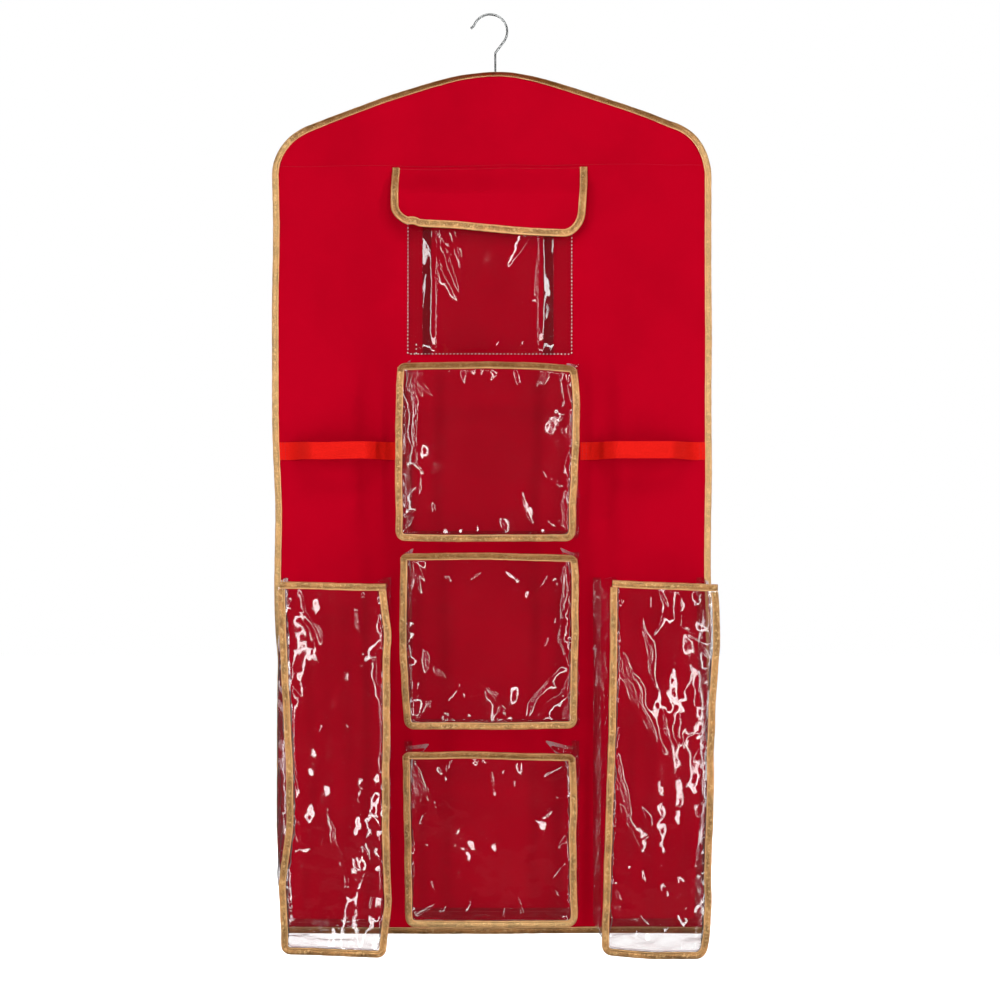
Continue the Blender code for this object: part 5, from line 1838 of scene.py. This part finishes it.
# %% [markdown]
# ## The hook
#
# The hook is one bent wire: a riveted head under the hub, a straight stem, a bend, three quarters
# of a circle and a small ball at the tip. A curve with a round bevel makes such a wire in one go,
# with its radius set at each point.

# %% The hook
WIRE = 0.0032
HOOK_RADIUS = 0.024
HOOK_BEND_DROP = 0.0525
BEND_RADIUS = 0.005
ARC_END = math.radians(160)
FLARE = 0.0065
FLARE_ANGLE = math.radians(222)
BALL = 0.0019
HEAD_RADIUS = 0.0026
HEAD = 0.0016


def hook_line():
    """Points of the wire's middle line and its radius at each of them."""
    stem = SWIVEL[0]
    centre = WIRE / 2 - HOOK_RADIUS
    bend = -HOOK_BEND_DROP
    towards = math.atan2(bend - centre, stem)
    leave = towards + math.acos(HOOK_RADIUS / math.hypot(stem, bend - centre))
    touch = (HOOK_RADIUS * math.cos(leave), centre + HOOK_RADIUS * math.sin(leave))
    turn = math.pi / 2 - math.atan2(touch[1] - bend, touch[0] - stem)
    setback = BEND_RADIUS * math.tan(turn / 2)
    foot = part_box("hook")[0].z
    line = [(stem, foot, HEAD_RADIUS * 0.7), (stem, foot + HEAD * 0.2, HEAD_RADIUS)]
    line += [(stem, foot + HEAD * 0.85, HEAD_RADIUS), (stem, foot + HEAD, WIRE / 2)]
    for x, z in arc(stem + BEND_RADIUS, bend - setback, BEND_RADIUS, math.pi, math.pi - turn, 10):
        line.append((x, z, WIRE / 2))
    sweep = arc(0, centre, HOOK_RADIUS, leave, ARC_END, 64)
    line += [(x, z, WIRE / 2) for x, z in sweep]
    end_x, end_z = sweep[-1]
    tip = [(FLARE * 0.15, WIRE / 2), (FLARE - BALL * 2, WIRE / 2)]
    for turn in np.linspace(0.75, math.pi, 9):
        tip.append((FLARE - BALL - BALL * math.cos(turn), max(BALL * math.sin(turn), 0.0002)))
    for along, radius in tip:
        line.append((end_x + along * math.cos(FLARE_ANGLE), end_z + along * math.sin(FLARE_ANGLE), radius))
    return line


def hook():
    line = hook_line()
    curve = bpy.data.curves.new("hook_wire", "CURVE")
    curve.dimensions = "3D"
    curve.bevel_depth = 1.0
    curve.bevel_resolution = 8
    curve.use_fill_caps = True
    spline = curve.splines.new("POLY")
    spline.points.add(len(line) - 1)
    for point, (x, z, radius) in zip(spline.points, line):
        point.co = (x, SWIVEL[1], z, 1)
        point.radius = radius
    drawn = place_object("hook_line", curve)
    mesh = shaped_mesh(drawn)
    bpy.data.objects.remove(drawn)
    welded = bmesh.new()
    welded.from_mesh(mesh)
    bmesh.ops.remove_doubles(welded, verts=welded.verts, dist=0.00001)
    bmesh.ops.recalc_face_normals(welded, faces=welded.faces)
    welded.to_mesh(mesh)
    welded.free()
    mesh.shade_smooth()
    sew_on(report(painted_object("hook_wire", mesh, "bright_steel")), "hook", "bright_steel", "hook")


hook()

# %% [markdown]
# ## The rigid pieces and the closure
#
# The hanger bar, the washer and the two closure tapes already have their shape as solids, so they
# stay as they are and only get their finish.

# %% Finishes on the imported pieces
KEPT = {
    "hanger_bar": "hanger_plastic",
    "stem_washer": "bright_steel",
    "pocket_loop_tape": "red_closure",
    "flap_hook_tape": "red_closure",
}
for node, colour in KEPT.items():
    paint(frame["nodes"][node].data, colour)
print("painted:", ", ".join(KEPT))

# %% [markdown]
# ## All the stitches
#
# Every seam noted its line above. Here all the rows of one colour are laid at once, so a few
# meshes hold some six thousand stitches.

# %% Stitches
COARSE = {"pitch": 0.005, "length": 0.0022, "thickness": 0.0016}
for name, colour, rows, slot, looks in (
    ("binding_stitches", "gold_thread", ROWS["gold_thread"][:2], "gold_tape", {}),
    ("pocket_stitches", "gold_thread", ROWS["gold_thread"][2:], "gold_tape", {}),
    ("red_stitches", "red_thread", ROWS["red_thread"], "red_fabric", {}),
    ("clear_stitches", "clear_thread", ROWS["clear_thread"], "clear_vinyl", COARSE),
):
    sew_on(stitches(name, rows, colour, **looks), "organizer", slot)

# %% [markdown]
# ## Floor and light
#
# The object hangs in front of white, lit by softboxes on the left, on the right, above and behind.
# The lamps give the plain level at which a colour looks as it is written. The world is white to the
# camera, and to mirrors only behind the object, because a studio is dark behind the camera.

# %% Floor
FLOOR_DEPTH = 0.42
FLOOR_SIZE = 9.0
FLOOR_FRONT = 1.6


def ray(tree, kind):
    """1 for rays of this kind and 0 for others."""
    return tree.node("ShaderNodeLightPath", output=f"Is {kind} Ray")


def grey(level):
    return (level, level, level, 1)


def floor():
    made, tree, shader = finish("floor", Roughness=0.9, Emission_Strength=1)
    place, _ = axes(tree)
    tone = tree.mix(grain(tree, place, 3), grey(0.9), grey(0.92))
    tone = tree.mix(ray(tree, "Glossy"), tone, grey(0.04))
    feed(tree, shader, Base_Color=tone, Emission_Color=tree.mix(ray(tree, "Camera"), grey(0), grey(0.78)))
    bm = bmesh.new()
    bmesh.ops.create_grid(bm, x_segments=8, y_segments=8, size=FLOOR_SIZE / 2)
    mesh = bpy.data.meshes.new("floor")
    bm.to_mesh(mesh)
    bm.free()
    mesh.materials.append(made)
    laid = place_object("floor", mesh)
    laid.location = (MIDDLE, FLOOR_SIZE / 2 - FLOOR_FRONT, BOTTOM - FLOOR_DEPTH)
    laid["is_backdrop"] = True
    print("floor at z", round(laid.location.z, 3))


floor()

# %% World and lamps
AMBIENT = 0.25
STUDIO_DARK = 0.035
BEHIND = (0.1, 0.6)
AIM = (MIDDLE, 0, -0.66)
SIDE_POWERS = (24, 25.5)


def world():
    made = bpy.data.worlds.new("studio")
    made.use_nodes = True
    bpy.context.scene.world = made
    tree = Tree(made.node_tree)
    way = tree.node("ShaderNodeTexCoord", output="Generated")
    behind = tree.smooth(tree.node("ShaderNodeSeparateXYZ", {0: way}, output=1), *BEHIND)
    mirrored = tree.larger(ray(tree, "Glossy"), ray(tree, "Transmission"))
    level = AMBIENT + mirrored * (STUDIO_DARK - AMBIENT + (1 - STUDIO_DARK) * behind)
    level = tree.larger(level, ray(tree, "Camera"))
    light = tree.node("ShaderNodeBackground", {"Color": (1, 1, 1, 1), "Strength": level})
    tree.node("ShaderNodeOutputWorld", {"Surface": light})


def softbox(name, place, width, height, power):
    """A lamp with sizes in metres and its power in watts, aimed at the middle of the panel."""
    lamp = bpy.data.lights.new(name, "AREA")
    lamp.shape = "RECTANGLE"
    lamp.size, lamp.size_y = width, height
    lamp.energy = power
    made = place_object(name, lamp)
    made.location = place
    aim = np.array(AIM) - np.array(place)
    flat = math.hypot(aim[0], aim[1])
    made.rotation_euler = (math.pi / 2 + math.atan2(aim[2], flat), 0, math.atan2(-aim[0], aim[1]))
    made.visible_camera = False


world()
for (side, label), power in zip(SIDES, SIDE_POWERS):
    softbox(f"softbox_{label}", (side * 1.75, -1.95, AIM[2] - 0.1), 0.32, 2.6, power)
    softbox(f"strip_{label}", (side * 0.72, -2.3, AIM[2] - 0.2), 0.1, 3.2, 12)
softbox("softbox_top", (0.1, -1.7, 1.2), 1.5, 0.4, 13)
softbox("softbox_back", (-0.5, 2.6, 0.1), 1.6, 1.6, 45)
print("lamps:", ", ".join(lamp.name for lamp in bpy.data.lights))

# %% [markdown]
# ## The end
#
# The view transform is set so that a colour renders as it is written. The visual model's box is
# written beside the solids' box, to compare their sizes.

# %% Finish
bpy.context.scene.view_settings.view_transform = "Standard"
bpy.context.scene.cycles.transparent_max_bounces = 32
SCENE_BOX = [list(corner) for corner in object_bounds()]
for axis, label in enumerate("xyz"):
    print(label, [round(box[end][axis], 4) for box in (CAD_BOX, SCENE_BOX) for end in (0, 1)])
